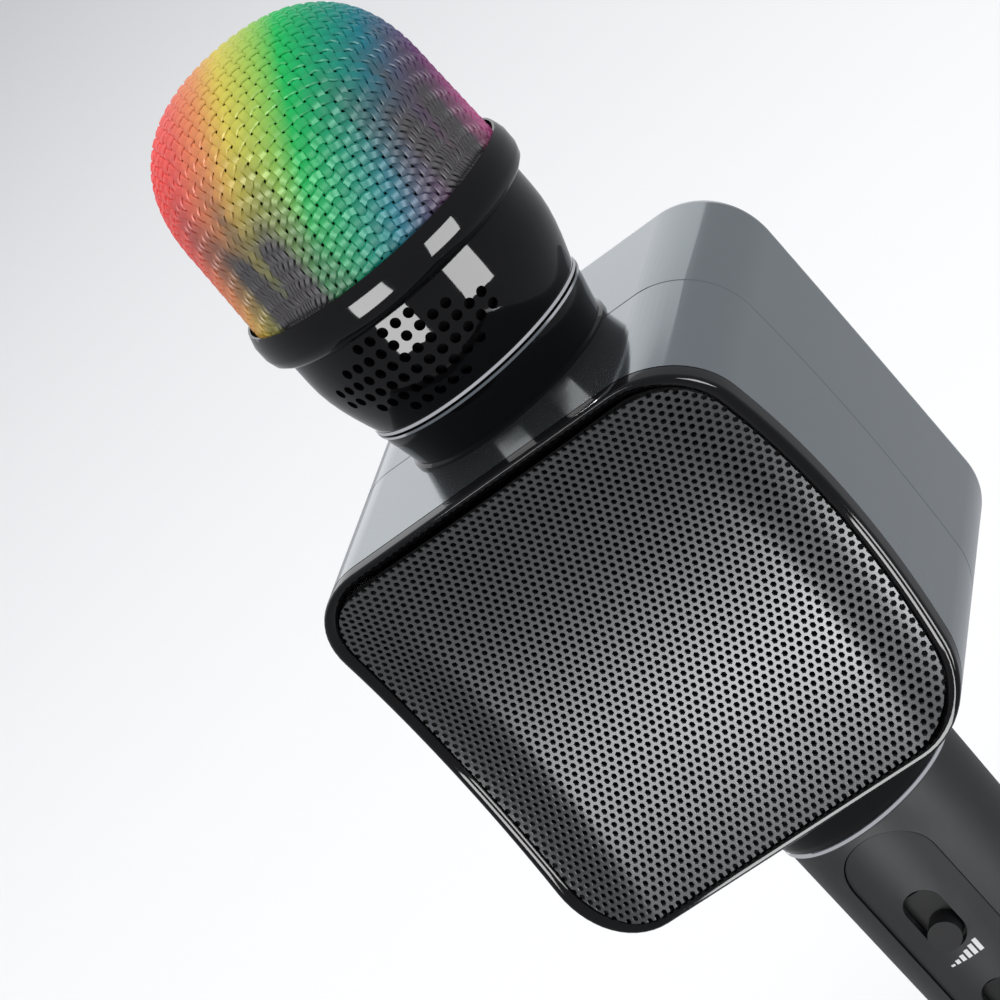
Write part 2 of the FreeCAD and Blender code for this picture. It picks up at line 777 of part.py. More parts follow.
def push_button(x, z):
    face = -(math.sqrt((handle_radius(z) - panel_sink) ** 2 - x ** 2) + button_stand)
    back = -(handle_radius(z) - panel_sink - panel_skin) + 1.7
    cap = rod_y(button_radius, face, back, x, z)
    stem = rod_y(1.2, back - 0.2, switch_y - 0.1 - button_travel, x, z)
    return fuse([cap, stem])


def button_switches():
    switches = [block(x - 1.8, x + 1.8, switch_y, control_board_y, z - 1.8, z + 1.8) for x, z in button_places]
    return Part.makeCompound(switches)


def control_board():
    return block(-7.6, 7.6, control_board_y, control_board_y + control_board_thickness, panel_bottom + 1.5,
                 panel_top - 1.5)


def status_light():
    face = -(handle_radius(light_z) - panel_sink)
    return rod_y(light_radius, face, control_board_y, 0, light_z)


def battery_cell():
    can = rod_z(cell_radius, cell_bottom, cell_bottom + cell_length - 1.5, 0, cell_y)
    button = rod_z(2.8, cell_bottom + cell_length - 1.5, cell_bottom + cell_length, 0, cell_y)
    return fuse([can, button])


def battery_cradle():
    end_wall = 1.5
    z0 = cell_bottom - end_wall
    z1 = cell_bottom + cell_length + end_wall
    sleeve = rod_z(cell_radius + 1.2, z0, z1, 0, cell_y)
    hollow = rod_z(cell_radius + fit_gap, cell_bottom, cell_bottom + cell_length, 0, cell_y)
    mouth = block(-reach / 4, reach / 4, -reach / 4, cell_y - 2.0, z0 - 1, z1 + 1)
    return sleeve.cut(hollow).cut(mouth)


def end_cap():
    r = handle_bottom_radius
    outline = [
        (0, 0), (r - 2.0, 0), (r - 0.9, 0.5), (r - 0.35, 1.4), (r - 0.1, 3.0), (r, end_cap_height),
        (plug_radius, end_cap_height), (plug_radius, plug_top), (plug_radius - 2, plug_top),
        (plug_radius - 2, 3.0), (0, 3.0),
    ]
    cap = lathe(outline)
    bosses = [rod_z(2.2, 2.5, plug_top, side * cap_screw_x, cap_screw_y) for side in (-1, 1)]
    cap = fuse([cap] + bosses)
    cuts = [
        block(usb_x - usb_width / 2, usb_x + usb_width / 2, -usb_height / 2, usb_height / 2, -1, 4),
        rod_z(jack_nose, -1, 4, jack_x, 0),
    ]
    for side in (-1, 1):
        x = side * cap_screw_x
        cuts.append(rod_z(cap_screw_radius + 0.2, -1, plug_top + 1, x, cap_screw_y))
        cuts.append(rod_z(1.9, -1, 2.0, x, cap_screw_y))
    return cap.cut(Part.makeCompound(cuts))


def end_cap_screws():
    screws = []
    for side in (-1, 1):
        x = side * cap_screw_x
        shank = rod_z(cap_screw_radius, 2.0, plug_top + 6, x, cap_screw_y)
        head = rod_z(1.7, 0.8, 2.0, x, cap_screw_y)
        screws.append(fuse([shank, head]))
    return Part.makeCompound(screws)


def usb_socket():
    w = usb_width / 2 - fit_gap
    h = usb_height / 2 - fit_gap
    shell = block(usb_x - w, usb_x + w, -h, h, 0.6, port_board_z)
    mouth = block(usb_x - w + 0.3, usb_x + w - 0.3, -h + 0.3, h - 0.3, 0, 7.0)
    tongue = block(usb_x - 3.3, usb_x + 3.3, -0.35, 0.35, 1.4, 7.5)
    return fuse([shell.cut(mouth), tongue])


def aux_jack():
    nose = rod_z(jack_nose - fit_gap, 0.4, port_board_z, jack_x, 0)
    body = block(jack_x - jack_nose, jack_x + jack_nose, -jack_nose, jack_nose, 3.2, port_board_z)
    bore = rod_z(jack_bore, -1, port_board_z - 0.8, jack_x, 0)
    return fuse([nose, body]).cut(bore)


def port_board():
    board = rod_z(plug_radius - 2 - fit_gap, port_board_z, port_board_z + 1.2)
    notches = [rod_z(2.4, port_board_z - 1, port_board_z + 3, side * cap_screw_x, cap_screw_y)
               for side in (-1, 1)]
    return board.cut(Part.makeCompound(notches))


# ---- leads inside the body -------------------------------------------------------------------
def lead(points):
    """A round lead along straight runs joined by tangent arcs."""
    points = [V(*p) for p in points]
    edges = []
    here = points[0]
    for i in range(1, len(points) - 1):
        corner = points[i]
        back = points[i - 1] - corner
        ahead = points[i + 1] - corner
        shorter = min(back.Length, ahead.Length)
        turn = math.pi - back.getAngle(ahead)
        radius = 0.45 * shorter / math.tan(turn / 2)
        setback = 0.45 * shorter
        back.normalize()
        ahead.normalize()
        start = corner + back * setback
        end = corner + ahead * setback
        bisector = back + ahead
        bisector.normalize()
        middle = corner + bisector * (radius / math.cos(turn / 2) - radius)
        edges.append(line(here, start))
        edges.append(arc(start, middle, end))
        here = end
    edges.append(line(here, points[-1]))
    path = Part.Wire(edges)
    direction = points[1] - points[0]
    profile = Part.Wire([Part.makeCircle(lead_radius, points[0], direction)])
    return path.makePipeShell([profile], True, False)


def capsule_lead():
    board_top = box_centre_z + board_half_h
    route = lead([
        (0, 0, holder_top - 7), (0, 0, neck_top + 2), (0, 2.5, box_top - 6),
        (0, board_y + board_thickness / 2, board_top - 1),
    ])
    return route.cut(main_board())


def driver_lead():
    side = magnet_radius + 6
    route = lead([
        (17, board_y - 5, box_centre_z - 21), (17, board_y - 11, box_centre_z - 21.5),
        (side, back_plate_y, box_centre_z - 14), (side - 2, spider_y - 3.5, box_centre_z - 4),
    ])
    return route.cut(driver_basket()).cut(board_parts())


def battery_lead():
    route = lead([
        (0, cell_y, cell_bottom + cell_length + 1.5), (0, cell_y + 1, handle_top + 8),
        (2, cell_y - 1, box_bottom + 13), (2, board_y + board_thickness / 2, box_bottom + 21),
    ])
    return route.cut(main_board()).cut(battery_cradle())


def build():
    os.makedirs("parts", exist_ok=True)
    parts = {
        "head_mesh": head_mesh, "head_foam": head_foam, "head_collar": head_collar,
        "mic_capsule": mic_capsule, "capsule_holder": capsule_holder, "light_diffuser": light_diffuser,
        "light_board": light_board, "light_leds": light_leds, "vent_cup": vent_cup, "vent_cloth": vent_cloth,
        "cup_trim_ring": cup_trim_ring, "neck_band": neck_band, "neck_stem": neck_stem,
        "front_housing": front_housing, "rear_housing": rear_housing, "front_bezel": front_bezel,
        "front_grille": front_grille, "grille_cloth": grille_cloth, "speaker_baffle": speaker_baffle,
        "driver_gasket": driver_gasket, "driver_basket": driver_basket, "driver_magnet": driver_magnet,
        "driver_spider": driver_spider, "driver_surround": driver_surround, "driver_cone": driver_cone,
        "driver_screws": driver_screws, "rear_grille": rear_grille, "radiator_frame": radiator_frame,
        "radiator_surround": radiator_surround, "radiator_plate": radiator_plate,
        "housing_screws": housing_screws, "main_board": main_board, "board_parts": board_parts,
        "capsule_lead": capsule_lead, "driver_lead": driver_lead, "battery_lead": battery_lead,
        "lower_neck": lower_neck, "handle_ring": handle_ring, "handle_tube": handle_tube,
        "control_panel": control_panel, "button_switches": button_switches, "control_board": control_board,
        "status_light": status_light, "battery_cell": battery_cell, "battery_cradle": battery_cradle,
        "end_cap": end_cap, "end_cap_screws": end_cap_screws, "port_board": port_board,
        "usb_socket": usb_socket, "aux_jack": aux_jack,
    }
    for node, make in parts.items():
        save(make(), node)
    for name, z in (("volume", volume_z), ("echo", echo_z)):
        save(slider_knob(z), name + "_knob")
        save(slider_pot(z), name + "_pot")
    for name, place in zip(("power_button", "previous_button", "next_button"), button_places):
        save(push_button(*place), name)


build()
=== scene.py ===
import json
import math

import bmesh
import bpy
import numpy as np
from bpy.props import FloatProperty, FloatVectorProperty, PointerProperty
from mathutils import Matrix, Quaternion, Vector


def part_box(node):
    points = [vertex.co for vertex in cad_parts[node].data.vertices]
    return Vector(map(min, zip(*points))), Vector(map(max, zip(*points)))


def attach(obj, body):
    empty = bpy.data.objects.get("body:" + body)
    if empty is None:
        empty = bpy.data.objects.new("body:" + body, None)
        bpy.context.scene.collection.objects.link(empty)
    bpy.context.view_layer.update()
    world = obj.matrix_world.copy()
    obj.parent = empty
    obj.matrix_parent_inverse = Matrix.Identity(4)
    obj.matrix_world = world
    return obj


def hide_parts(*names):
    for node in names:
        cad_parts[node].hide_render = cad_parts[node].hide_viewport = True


bl_info = {
    "name": "Karaoke microphone",
    "version": (1, 0, 0),
    "blender": (4, 5, 0),
    "location": "3D View > Sidebar > Microphone",
    "description": "Builds the looks of a toy karaoke microphone round its packed frame",
    "category": "Object",
}

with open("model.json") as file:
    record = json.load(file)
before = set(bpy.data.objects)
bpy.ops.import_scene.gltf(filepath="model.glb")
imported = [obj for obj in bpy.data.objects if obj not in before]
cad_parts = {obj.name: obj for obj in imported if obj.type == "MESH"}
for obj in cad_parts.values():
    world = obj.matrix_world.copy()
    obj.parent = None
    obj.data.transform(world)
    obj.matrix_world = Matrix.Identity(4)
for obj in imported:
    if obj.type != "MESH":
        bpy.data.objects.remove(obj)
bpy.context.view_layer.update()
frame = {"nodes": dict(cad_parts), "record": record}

# All lengths are in metres. +Z runs up the microphone, and the speaker faces -Y.
MM = 0.001
BODY = "microphone_body"


# ---- sizes read from the frame ---------------------------------------------------------------
def low(node):
    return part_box(node)[0]


def high(node):
    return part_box(node)[1]


BOX_HALF_WIDTH = high("rear_housing").x
BOX_MIDDLE = (high("front_bezel").z + low("front_bezel").z) / 2
BOX_HALF_HEIGHT = high("front_bezel").z - BOX_MIDDLE
RIM_DEPTH = -low("front_bezel").y
HEAD_RADIUS = high("head_mesh").x
HEAD_TOP = high("head_mesh").z
HEAD_SEAT = low("head_mesh").z
COLLAR_TOP = high("head_collar").z
HANDLE_TOP = high("handle_tube").z
HANDLE_FOOT = low("handle_tube").z
HANDLE_TOP_RADIUS = high("handle_tube").x
HANDLE_FOOT_RADIUS = high("end_cap").x
PANEL_SINK = 0.4 * MM       # how far the panel lies below the handle's skin


# ---- what a user may change ------------------------------------------------------------------
def length(name, text, default):
    return FloatProperty(name=name, description=text, default=default, min=0.0, subtype="DISTANCE",
                         unit="LENGTH", precision=5)


def colour(name, text, default):
    return FloatVectorProperty(name=name, description=text, default=default, size=3, subtype="COLOR", min=0.0,
                               max=1.0)


class MicrophoneSizes(bpy.types.PropertyGroup):
    wire_pitch: length("Wire pitch", "Distance between two wires of the head where it isn't packed", 0.00205)
    wire_fill: FloatProperty(name="Wire fill", description="Share of the pitch that a wire covers",
                             default=0.8, min=0.2, max=0.95, subtype="FACTOR")
    wire_thickness: length("Wire thickness", "Thickness of a flattened wire", 0.0004)
    weave_rise: length("Weave rise", "How far a wire stands up where it crosses over another", 0.00026)
    weave_turn: FloatProperty(name="Weave turn", description="Direction of the straight wires round the head",
                              default=math.radians(-65), subtype="ANGLE", unit="ROTATION")
    hole_pitch: length("Hole pitch", "Distance between two holes of the speaker grille", 0.00155)
    hole_radius: length("Hole radius", "Corner radius of a grille hole", 0.00053)
    sheet_thickness: length("Grille thickness", "Thickness of the perforated sheet", 0.0006)
    grille_crown: length("Grille crown", "How far the grille's middle stands out", 0.003)
    grille_shoulder: length("Grille shoulder", "Width of the slope at each side of the grille", 0.0135)
    bezel_width: length("Bezel width", "Width of the gloss frame round the grille", 0.0024)
    bezel_depth: length("Bezel depth", "How far the gloss frame reaches back", 0.004)
    side_bulge: length("Side bulge", "Outward bow of the box's left and right sides", 0.0022)
    box_corner: length("Box corner", "Corner radius of the box's outline", 0.0145)
    box_waist: length("Box waist", "How far the rim stands out at the top and bottom of the box", 0.0092)
    bead_share: FloatProperty(name="Bead share", description="Share of the trim ring in each bright bead",
                              default=0.3, min=0.0, max=0.5, subtype="FACTOR")
    joint_bevel: length("Joint bevel", "Bevel where the two halves of the box meet", 0.00022)
    mark_width: length("Mark width", "Width of the volume ramp", 0.0074)
    mark_drop: length("Mark drop", "From the middle of a knob down to the foot of its mark", 0.0081)
    print_height: length("Print height", "Thickness of the printed marks", 0.00004)


class MicrophoneColours(bpy.types.PropertyGroup):
    housing: colour("Housing", "Lacquer of the speaker box", (0.22, 0.25, 0.265))
    gloss: colour("Gloss", "Gloss black mouldings", (0.004, 0.004, 0.0044))
    grille: colour("Grille", "Paint of the perforated sheet", (0.05, 0.051, 0.053))
    handle: colour("Handle", "Satin plastic of the handle", (0.02, 0.0215, 0.0235))
    keys: colour("Keys", "Caps of the knobs and buttons", (0.013, 0.0135, 0.0145))
    wire: colour("Wire", "Bare wire of the head", (0.075, 0.07, 0.075))
    trim: colour("Trim", "Bright plated rings", (0.82, 0.82, 0.84))
    marks: colour("Marks", "White printed marks", (0.85, 0.85, 0.86))
    floor: colour("Floor", "Pale floor under the microphone", (0.86, 0.86, 0.86))


class MicrophoneStage(bpy.types.PropertyGroup):
    azimuth: FloatProperty(name="Camera azimuth", description="Turn of the camera round the microphone",
                           default=math.radians(24.27), subtype="ANGLE", unit="ROTATION")
    elevation: FloatProperty(name="Camera elevation", description="Angle above the horizon",
                             default=math.radians(15.31), subtype="ANGLE", unit="ROTATION")
    roll: FloatProperty(name="Camera roll", description="Turn of the camera about its own line of sight",
                        default=math.radians(41.99), subtype="ANGLE", unit="ROTATION")
    distance: length("Camera distance", "From the camera to the point it looks at", 0.7452)
    aim: FloatVectorProperty(name="Camera aim", description="The point that the camera looks at",
                             default=(-0.0055, -0.0226, 0.1803), size=3, subtype="XYZ_LENGTH", unit="LENGTH")
    lens: FloatProperty(name="Lens", description="Focal length in millimetres", default=161.9, min=10.0)


def sizes():
    return bpy.context.scene.microphone_sizes


def colours():
    return bpy.context.scene.microphone_colours


# ---- helpers for pieces ----------------------------------------------------------------------
def add_piece(name, points, faces, smooth_angle=None):
    """A mesh object at the origin. Faces whose edges turn less than smooth_angle are shaded smooth."""
    mesh = bpy.data.meshes.new(name)
    mesh.from_pydata([tuple(p) for p in points], [], faces)
    mesh.validate()
    piece = bpy.data.objects.new(name, mesh)
    bpy.context.scene.collection.objects.link(piece)
    if smooth_angle is not None:
        smooth(piece, smooth_angle)
    return piece


def smooth(piece, angle):
    """Smooth shading that keeps edges sharper than angle, with the normals led by the larger faces."""
    piece.data.shade_smooth()
    piece.data.set_sharp_from_angle(angle=math.radians(angle))
    weigh = piece.modifiers.new("Weighted normals", "WEIGHTED_NORMAL")
    weigh.mode = "FACE_AREA_WITH_ANGLE"
    weigh.weight = 100
    weigh.keep_sharp = True
    bake_modifiers(piece)


def bake_modifiers(piece):
    """Turns the evaluated mesh into the piece's own mesh and takes the modifiers off."""
    graph = bpy.context.evaluated_depsgraph_get()
    made = bpy.data.meshes.new_from_object(piece.evaluated_get(graph), depsgraph=graph)
    piece.modifiers.clear()
    piece.data = made
    return piece


JOIN_REACH = 0.002 * MM     # points of a CAD node nearer than this are one point
LEAST_EDGE = 0.001 * MM


def joined_copy(node, name, smooth_angle=32):
    """A copy of a CAD node with its triangles joined and its curved faces shaded smooth."""
    work = bmesh.new()
    work.from_mesh(frame["nodes"][node].data)
    bmesh.ops.remove_doubles(work, verts=work.verts, dist=JOIN_REACH)
    bmesh.ops.dissolve_degenerate(work, edges=work.edges, dist=LEAST_EDGE)
    points = [v.co.copy() for v in work.verts]
    faces = [[v.index for v in f.verts] for f in work.faces]
    work.free()
    return add_piece(name, points, faces, smooth_angle)


def finish_piece(piece, material, body=BODY, nodes=()):
    """Paints a piece, fixes it to its body and hides the nodes that it replaces. Printed marks have no
    slot.
    """
    piece.data.materials.clear()
    piece.data.materials.append(material)
    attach(piece, body)
    if nodes:
        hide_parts(*nodes)


def finish_copy(node, ending, material, body=BODY):
    """Puts a joined copy of a CAD node, named with an ending, in the node's place."""
    finish_piece(joined_copy(node, node + ending), material, body, [node])


def dress_node(node, material):
    """Gives a CAD node that stays in view its finish."""
    mesh = frame["nodes"][node].data
    mesh.materials.clear()
    mesh.materials.append(material)


def loft(rings, close_ends=False, cyclic=False):
    """Points and faces between rings of equal length. A cyclic loft joins its last ring to its first."""
    count = len(rings[0])
    points = [p for ring in rings for p in ring]
    faces = []
    last = len(rings) if cyclic else len(rings) - 1
    for i in range(last):
        a = i * count
        b = (i + 1) % len(rings) * count
        for j in range(count):
            k = (j + 1) % count
            faces.append([a + j, a + k, b + k, b + j])
    if close_ends:
        faces.append(list(range(count))[::-1])
        faces.append(list(range((len(rings) - 1) * count, len(rings) * count)))
    return points, faces


def outward(piece):
    """Turns every face outwards on a closed mesh."""
    work = bmesh.new()
    work.from_mesh(piece.data)
    bmesh.ops.recalc_face_normals(work, faces=work.faces)
    work.to_mesh(piece.data)
    work.free()


# ---- helpers for materials -------------------------------------------------------------------
def link(tree, source, target):
    tree.links.new(source, target)


def feed(tree, value, socket):
    """Links a value that is itself a socket, and sets a plain one."""
    if isinstance(value, bpy.types.NodeSocket):
        link(tree, value, socket)
    else:
        socket.default_value = value


def math_node(tree, operation, first, second=None, third=None):
    node = tree.nodes.new("ShaderNodeMath")
    node.operation = operation
    for socket, value in zip(node.inputs, (first, second, third)):
        if value is not None:
            feed(tree, value, socket)
    return node.outputs[0]


def noise(tree, vector, scale, detail=2.0, roughness=0.5):
    node = tree.nodes.new("ShaderNodeTexNoise")
    link(tree, vector, node.inputs["Vector"])
    for name, value in (("Scale", scale), ("Detail", detail), ("Roughness", roughness)):
        feed(tree, value, node.inputs[name])
    return node.outputs["Fac"]


def remap(tree, value, low_in, high_in, low_out, high_out):
    node = tree.nodes.new("ShaderNodeMapRange")
    for socket, item in zip(node.inputs, (value, low_in, high_in, low_out, high_out)):
        feed(tree, item, socket)
    return node.outputs[0]


def scaled(tree, vector, factor):
    """A colour or vector times a number."""
    node = tree.nodes.new("ShaderNodeVectorMath")
    node.operation = "SCALE"
    feed(tree, vector, node.inputs[0])
    link(tree, factor, node.inputs["Scale"])
    return node.outputs[0]


def dent(tree, shader, height, strength, distance):
    """Bump on a shader's normal."""
    node = tree.nodes.new("ShaderNodeBump")
    node.inputs["Strength"].default_value = strength
    node.inputs["Distance"].default_value = distance
    link(tree, height, node.inputs["Height"])
    link(tree, node.outputs[0], shader.inputs["Normal"])


def new_material(label):
    """A new material, its node tree and its shader."""
    material = bpy.data.materials.new(label)
    material.use_nodes = True
    return material, material.node_tree, material.node_tree.nodes["Principled BSDF"]


def new_group(name, inputs, outputs):
    """A shader node group with named float sockets."""
    group = bpy.data.node_groups.new(name, "ShaderNodeTree")
    for label, default in inputs:
        socket = group.interface.new_socket(name=label, in_out="INPUT", socket_type="NodeSocketFloat")
        socket.default_value = default
    for label in outputs:
        group.interface.new_socket(name=label, in_out="OUTPUT", socket_type="NodeSocketFloat")
    return group, group.nodes.new("NodeGroupInput"), group.nodes.new("NodeGroupOutput")


def object_place(tree):
    return tree.nodes.new("ShaderNodeTexCoord").outputs["Object"]


GRAIN_DEPTH = 0.1 * MM      # depth that a bump strength of 1 stands for
WIRE_GRAIN_DEPTH = 0.05 * MM
COARSE_SCALE = 0.04         # scale of the grain's broad clouds, as a share of its own
FINE_SHARE = 0.6            # how much of the tone comes from the fine grain
SMEAR_SCALE = 45.0
SMEAR_BAND = (0.45, 0.75)   # noise values between which a smear comes in
HAIRLINE_STRETCH = (3000.0, 60.0, 60.0)
HAIRLINE_TURN = (0.4, 0.3, 0.9)
HAIRLINE_BAND = (0.66, 0.74)


def grain_group():
    """Fine moulded or painted grain: a height for bump, and a tone that varies the colour a little."""
    group, given, made = new_group("Fine grain", [("Scale", 2500.0), ("Tone", 0.1)], ["Height", "Tone"])
    place = object_place(group)
    fine = noise(group, place, given.outputs["Scale"], 3.0, 0.6)
    coarse = noise(group, place, math_node(group, "MULTIPLY", given.outputs["Scale"], COARSE_SCALE), 2.0)
    both = math_node(group, "ADD", math_node(group, "MULTIPLY", fine, FINE_SHARE),
                     math_node(group, "MULTIPLY", coarse, 1 - FINE_SHARE))
    swing = math_node(group, "MULTIPLY", math_node(group, "SUBTRACT", both, 0.5), given.outputs["Tone"])
    link(group, fine, made.inputs["Height"])
    link(group, math_node(group, "ADD", swing, 1.0), made.inputs["Tone"])
    return group


def handling_group():
    """Faint finger smears and hairlines that lift the roughness of a surface."""
    values = [("Base", 0.1), ("Smears", 0.05), ("Hairlines", 0.02)]
    group, given, made = new_group("Handling", values, ["Roughness"])
    place = object_place(group)
    smears = remap(group, noise(group, place, SMEAR_SCALE, 4.0, 0.6), *SMEAR_BAND, 0.0, 1.0)
    stretch = group.nodes.new("ShaderNodeMapping")
    link(group, place, stretch.inputs["Vector"])
    stretch.inputs["Rotation"].default_value = HAIRLINE_TURN
    stretch.inputs["Scale"].default_value = HAIRLINE_STRETCH
    lines = remap(group, noise(group, stretch.outputs[0], 1.0, 1.0), *HAIRLINE_BAND, 0.0, 1.0)
    total = math_node(group, "MULTIPLY_ADD", smears, given.outputs["Smears"], given.outputs["Base"])
    total = math_node(group, "MULTIPLY_ADD", lines, given.outputs["Hairlines"], total)
    link(group, total, made.inputs["Roughness"])
    return group


def place_group(tree, group, **values):
    node = tree.nodes.new("ShaderNodeGroup")
    node.node_tree = group
    for name, value in values.items():
        node.inputs[name].default_value = value
    return node


def shared(name, maker):
    return bpy.data.node_groups.get(name) or maker()


def finish_material(name, tint, roughness, metallic=0.0, coat=0.0, coat_roughness=0.03, grain=2500.0,
                    tone=0.1, bump=0.1, smears=0.04, hairlines=0.0, specular=0.5):
    """A finish with grain in its colour and bump, and handling marks in its roughness."""
    label = name + "_finish"
    known = bpy.data.materials.get(label)
    if known:
        return known
    material, tree, shader = new_material(label)
    fine = place_group(tree, shared("Fine grain", grain_group), Scale=grain, Tone=tone)
    marks = place_group(tree, shared("Handling", handling_group), Base=roughness, Smears=smears,
                        Hairlines=hairlines)
    link(tree, scaled(tree, tint, fine.outputs["Tone"]), shader.inputs["Base Color"])
    link(tree, marks.outputs["Roughness"], shader.inputs["Roughness"])
    dent(tree, shader, fine.outputs["Height"], bump, GRAIN_DEPTH)
    shader.inputs["Metallic"].default_value = metallic
    shader.inputs["Coat Weight"].default_value = coat
    shader.inputs["Coat Roughness"].default_value = coat_roughness
    shader.inputs["Specular IOR Level"].default_value = specular
    return material


def gloss_black():
    return finish_material("gloss_black", colours().gloss, 0.045, grain=900.0, bump=0.006, smears=0.03,
                           hairlines=0.02, specular=0.24)


def housing_lacquer():
    return finish_material("housing_lacquer", colours().housing, 0.13, metallic=0.92, coat=0.3,
                           coat_roughness=0.05, grain=9000.0, tone=0.12, bump=0.0, smears=0.02)


def grille_paint():
    return finish_material("grille_paint", colours().grille, 0.36, metallic=0.35, grain=6000.0, bump=0.05)


def satin_plastic():
    return finish_material("satin_plastic", colours().handle, 0.46, grain=5000.0, tone=0.2, bump=0.35,
                           smears=0.06, specular=0.35)


def panel_plastic():
    return finish_material("panel_plastic", colours().handle, 0.4, grain=6500.0, tone=0.15, bump=0.2,
                           smears=0.05, specular=0.35)


def key_plastic():
    return finish_material("key_plastic", colours().keys, 0.42, grain=7000.0, bump=0.25, specular=0.2)


def bright_plating():
    return finish_material("bright_plating", colours().trim, 0.07, metallic=1.0, grain=2500.0, bump=0.02)


def printed_white():
    return finish_material("printed_white", colours().marks, 0.5, grain=12000.0, bump=0.1)


def plain_finish(slot):
    """The finish of a piece that shows only through holes, from its slot in the record."""
    looks = {               # colour, roughness and how metallic
        "steel": ((0.56, 0.56, 0.57), 0.3, 1.0),
        "board_green": ((0.012, 0.09, 0.035), 0.35, 0.0),
        "parts_black": ((0.02, 0.02, 0.021), 0.45, 0.0),
        "lead_black": ((0.015, 0.015, 0.016), 0.55, 0.0),
        "inner_black": ((0.02, 0.02, 0.021), 0.5, 0.0),
        "magnet_iron": ((0.06, 0.06, 0.065), 0.6, 0.4),
        "surround_rubber": ((0.018, 0.018, 0.018), 0.7, 0.0),
        "cell_wrap": ((0.02, 0.12, 0.4), 0.3, 0.0),
        "white_diffuser": ((0.8, 0.8, 0.8), 0.5, 0.0),
        "lamp": ((0.85, 0.82, 0.6), 0.3, 0.0),
        "light_window": ((0.35, 0.5, 0.75), 0.15, 0.0),
        "cone_paper": ((0.022, 0.022, 0.022), 0.85, 0.0),
    }
    tint, roughness, metallic = looks[slot]
    return finish_material(slot, tint, roughness, metallic=metallic, grain=3000.0, tone=0.25, bump=0.2)


def soft_black(name, hole_scale, depth):
    """Open foam or woven cloth: cells whose middles are darkened as painted shade in the pores, and which
    also dent the surface.
    """
    label = name + "_finish"
    known = bpy.data.materials.get(label)
    if known:
        return known
    material, tree, shader = new_material(label)
    cells = tree.nodes.new("ShaderNodeTexVoronoi")
    cells.inputs["Scale"].default_value = hole_scale
    link(tree, object_place(tree), cells.inputs["Vector"])
    # Painted shade: the ramp darkens the middle of each cell, where the pores lie
    ramp = tree.nodes.new("ShaderNodeValToRGB")
    ramp.color_ramp.elements[0].color = (0.002, 0.002, 0.002, 1)
    ramp.color_ramp.elements[1].color = (0.016, 0.016, 0.017, 1)
    link(tree, cells.outputs["Distance"], ramp.inputs[0])
    link(tree, ramp.outputs[0], shader.inputs["Base Color"])
    dent(tree, shader, cells.outputs["Distance"], 0.8, depth)
    shader.inputs["Roughness"].default_value = 0.95
    shader.inputs["Specular IOR Level"].default_value = 0.1
    return material


PAINTED_LIGHT_RUN = (0.837, 0.229, -0.496)      # direction in which the bands follow each other
PAINTED_LIGHT_SPAN = (-0.1465, -0.089)          # where they start and end along it
PACKED_OPEN = 0.58                      # openness at which a wire shows none of the painted light
CLEAR_OPEN = 0.97                       # openness from which it shows all of it
# strength of the painted glow on the wires, which are no lamp
PAINTED_GLOW = 0.3

# place within the span, and colour of the painted light
PAINTED_LIGHT_BANDS = [
    (0.00, (0.66, 0.040, 0.040)),
    (0.10, (0.56, 0.090, 0.075)),
    (0.19, (0.52, 0.200, 0.075)),
    (0.27, (0.46, 0.390, 0.060)),
    (0.38, (0.20, 0.380, 0.060)),
    (0.45, (0.003, 0.33, 0.065)),
    (0.55, (0.001, 0.23, 0.100)),
    (0.69, (0.003, 0.13, 0.17)),
    (0.83, (0.095, 0.022, 0.11)),
    (0.96, (0.36, 0.070, 0.19)),
]


def painted_light_wire():
    """Steel wire with coloured light painted on in bands, in its base colour and as a painted glow in its
    emission; the bands fade where the wires are packed together.
    """
    material, tree, shader = new_material("lit_wire_finish")
    across = tree.nodes.new("ShaderNodeVectorMath")
    across.operation = "DOT_PRODUCT"
    link(tree, object_place(tree), across.inputs[0])
    across.inputs[1].default_value = PAINTED_LIGHT_RUN
    place = remap(tree, across.outputs["Value"], *PAINTED_LIGHT_SPAN, 0.0, 1.0)
    ramp = tree.nodes.new("ShaderNodeValToRGB")
    stops = ramp.color_ramp.elements
    while len(stops) < len(PAINTED_LIGHT_BANDS):
        stops.new(0.5)
    for stop, (position, tint) in zip(stops, PAINTED_LIGHT_BANDS):
        stop.position = position
        stop.color = (*tint, 1.0)
    link(tree, place, ramp.inputs[0])
    packing = tree.nodes.new("ShaderNodeAttribute")
    packing.attribute_name = "openness"
    fade = remap(tree, packing.outputs["Fac"], PACKED_OPEN, CLEAR_OPEN, 0.0, 1.0)
    mix = tree.nodes.new("ShaderNodeMix")
    mix.data_type = "RGBA"
    link(tree, fade, mix.inputs["Factor"])
    mix.inputs["A"].default_value = (*colours().wire, 1.0)
    link(tree, ramp.outputs[0], mix.inputs["B"])
    # Painted light: the coloured bands go into the base colour, and give way to the bare wire colour where
    # the wires are packed
    link(tree, mix.outputs["Result"], shader.inputs["Base Color"])
    # Painted glow: the same bands go into the emission, though the wire is no lamp
    link(tree, scaled(tree, ramp.outputs[0], fade), shader.inputs["Emission Color"])
    shader.inputs["Emission Strength"].default_value = PAINTED_GLOW
    fine = place_group(tree, shared("Fine grain", grain_group), Scale=8000.0, Tone=0.1)
    dent(tree, shader, fine.outputs["Height"], 0.15, WIRE_GRAIN_DEPTH)
    marks = place_group(tree, shared("Handling", handling_group), Base=0.46, Smears=0.08, Hairlines=0.05)
    link(tree, marks.outputs["Roughness"], shader.inputs["Roughness"])
    shader.inputs["Metallic"].default_value = 0.1
    shader.inputs["Specular IOR Level"].default_value = 0.35
    return material


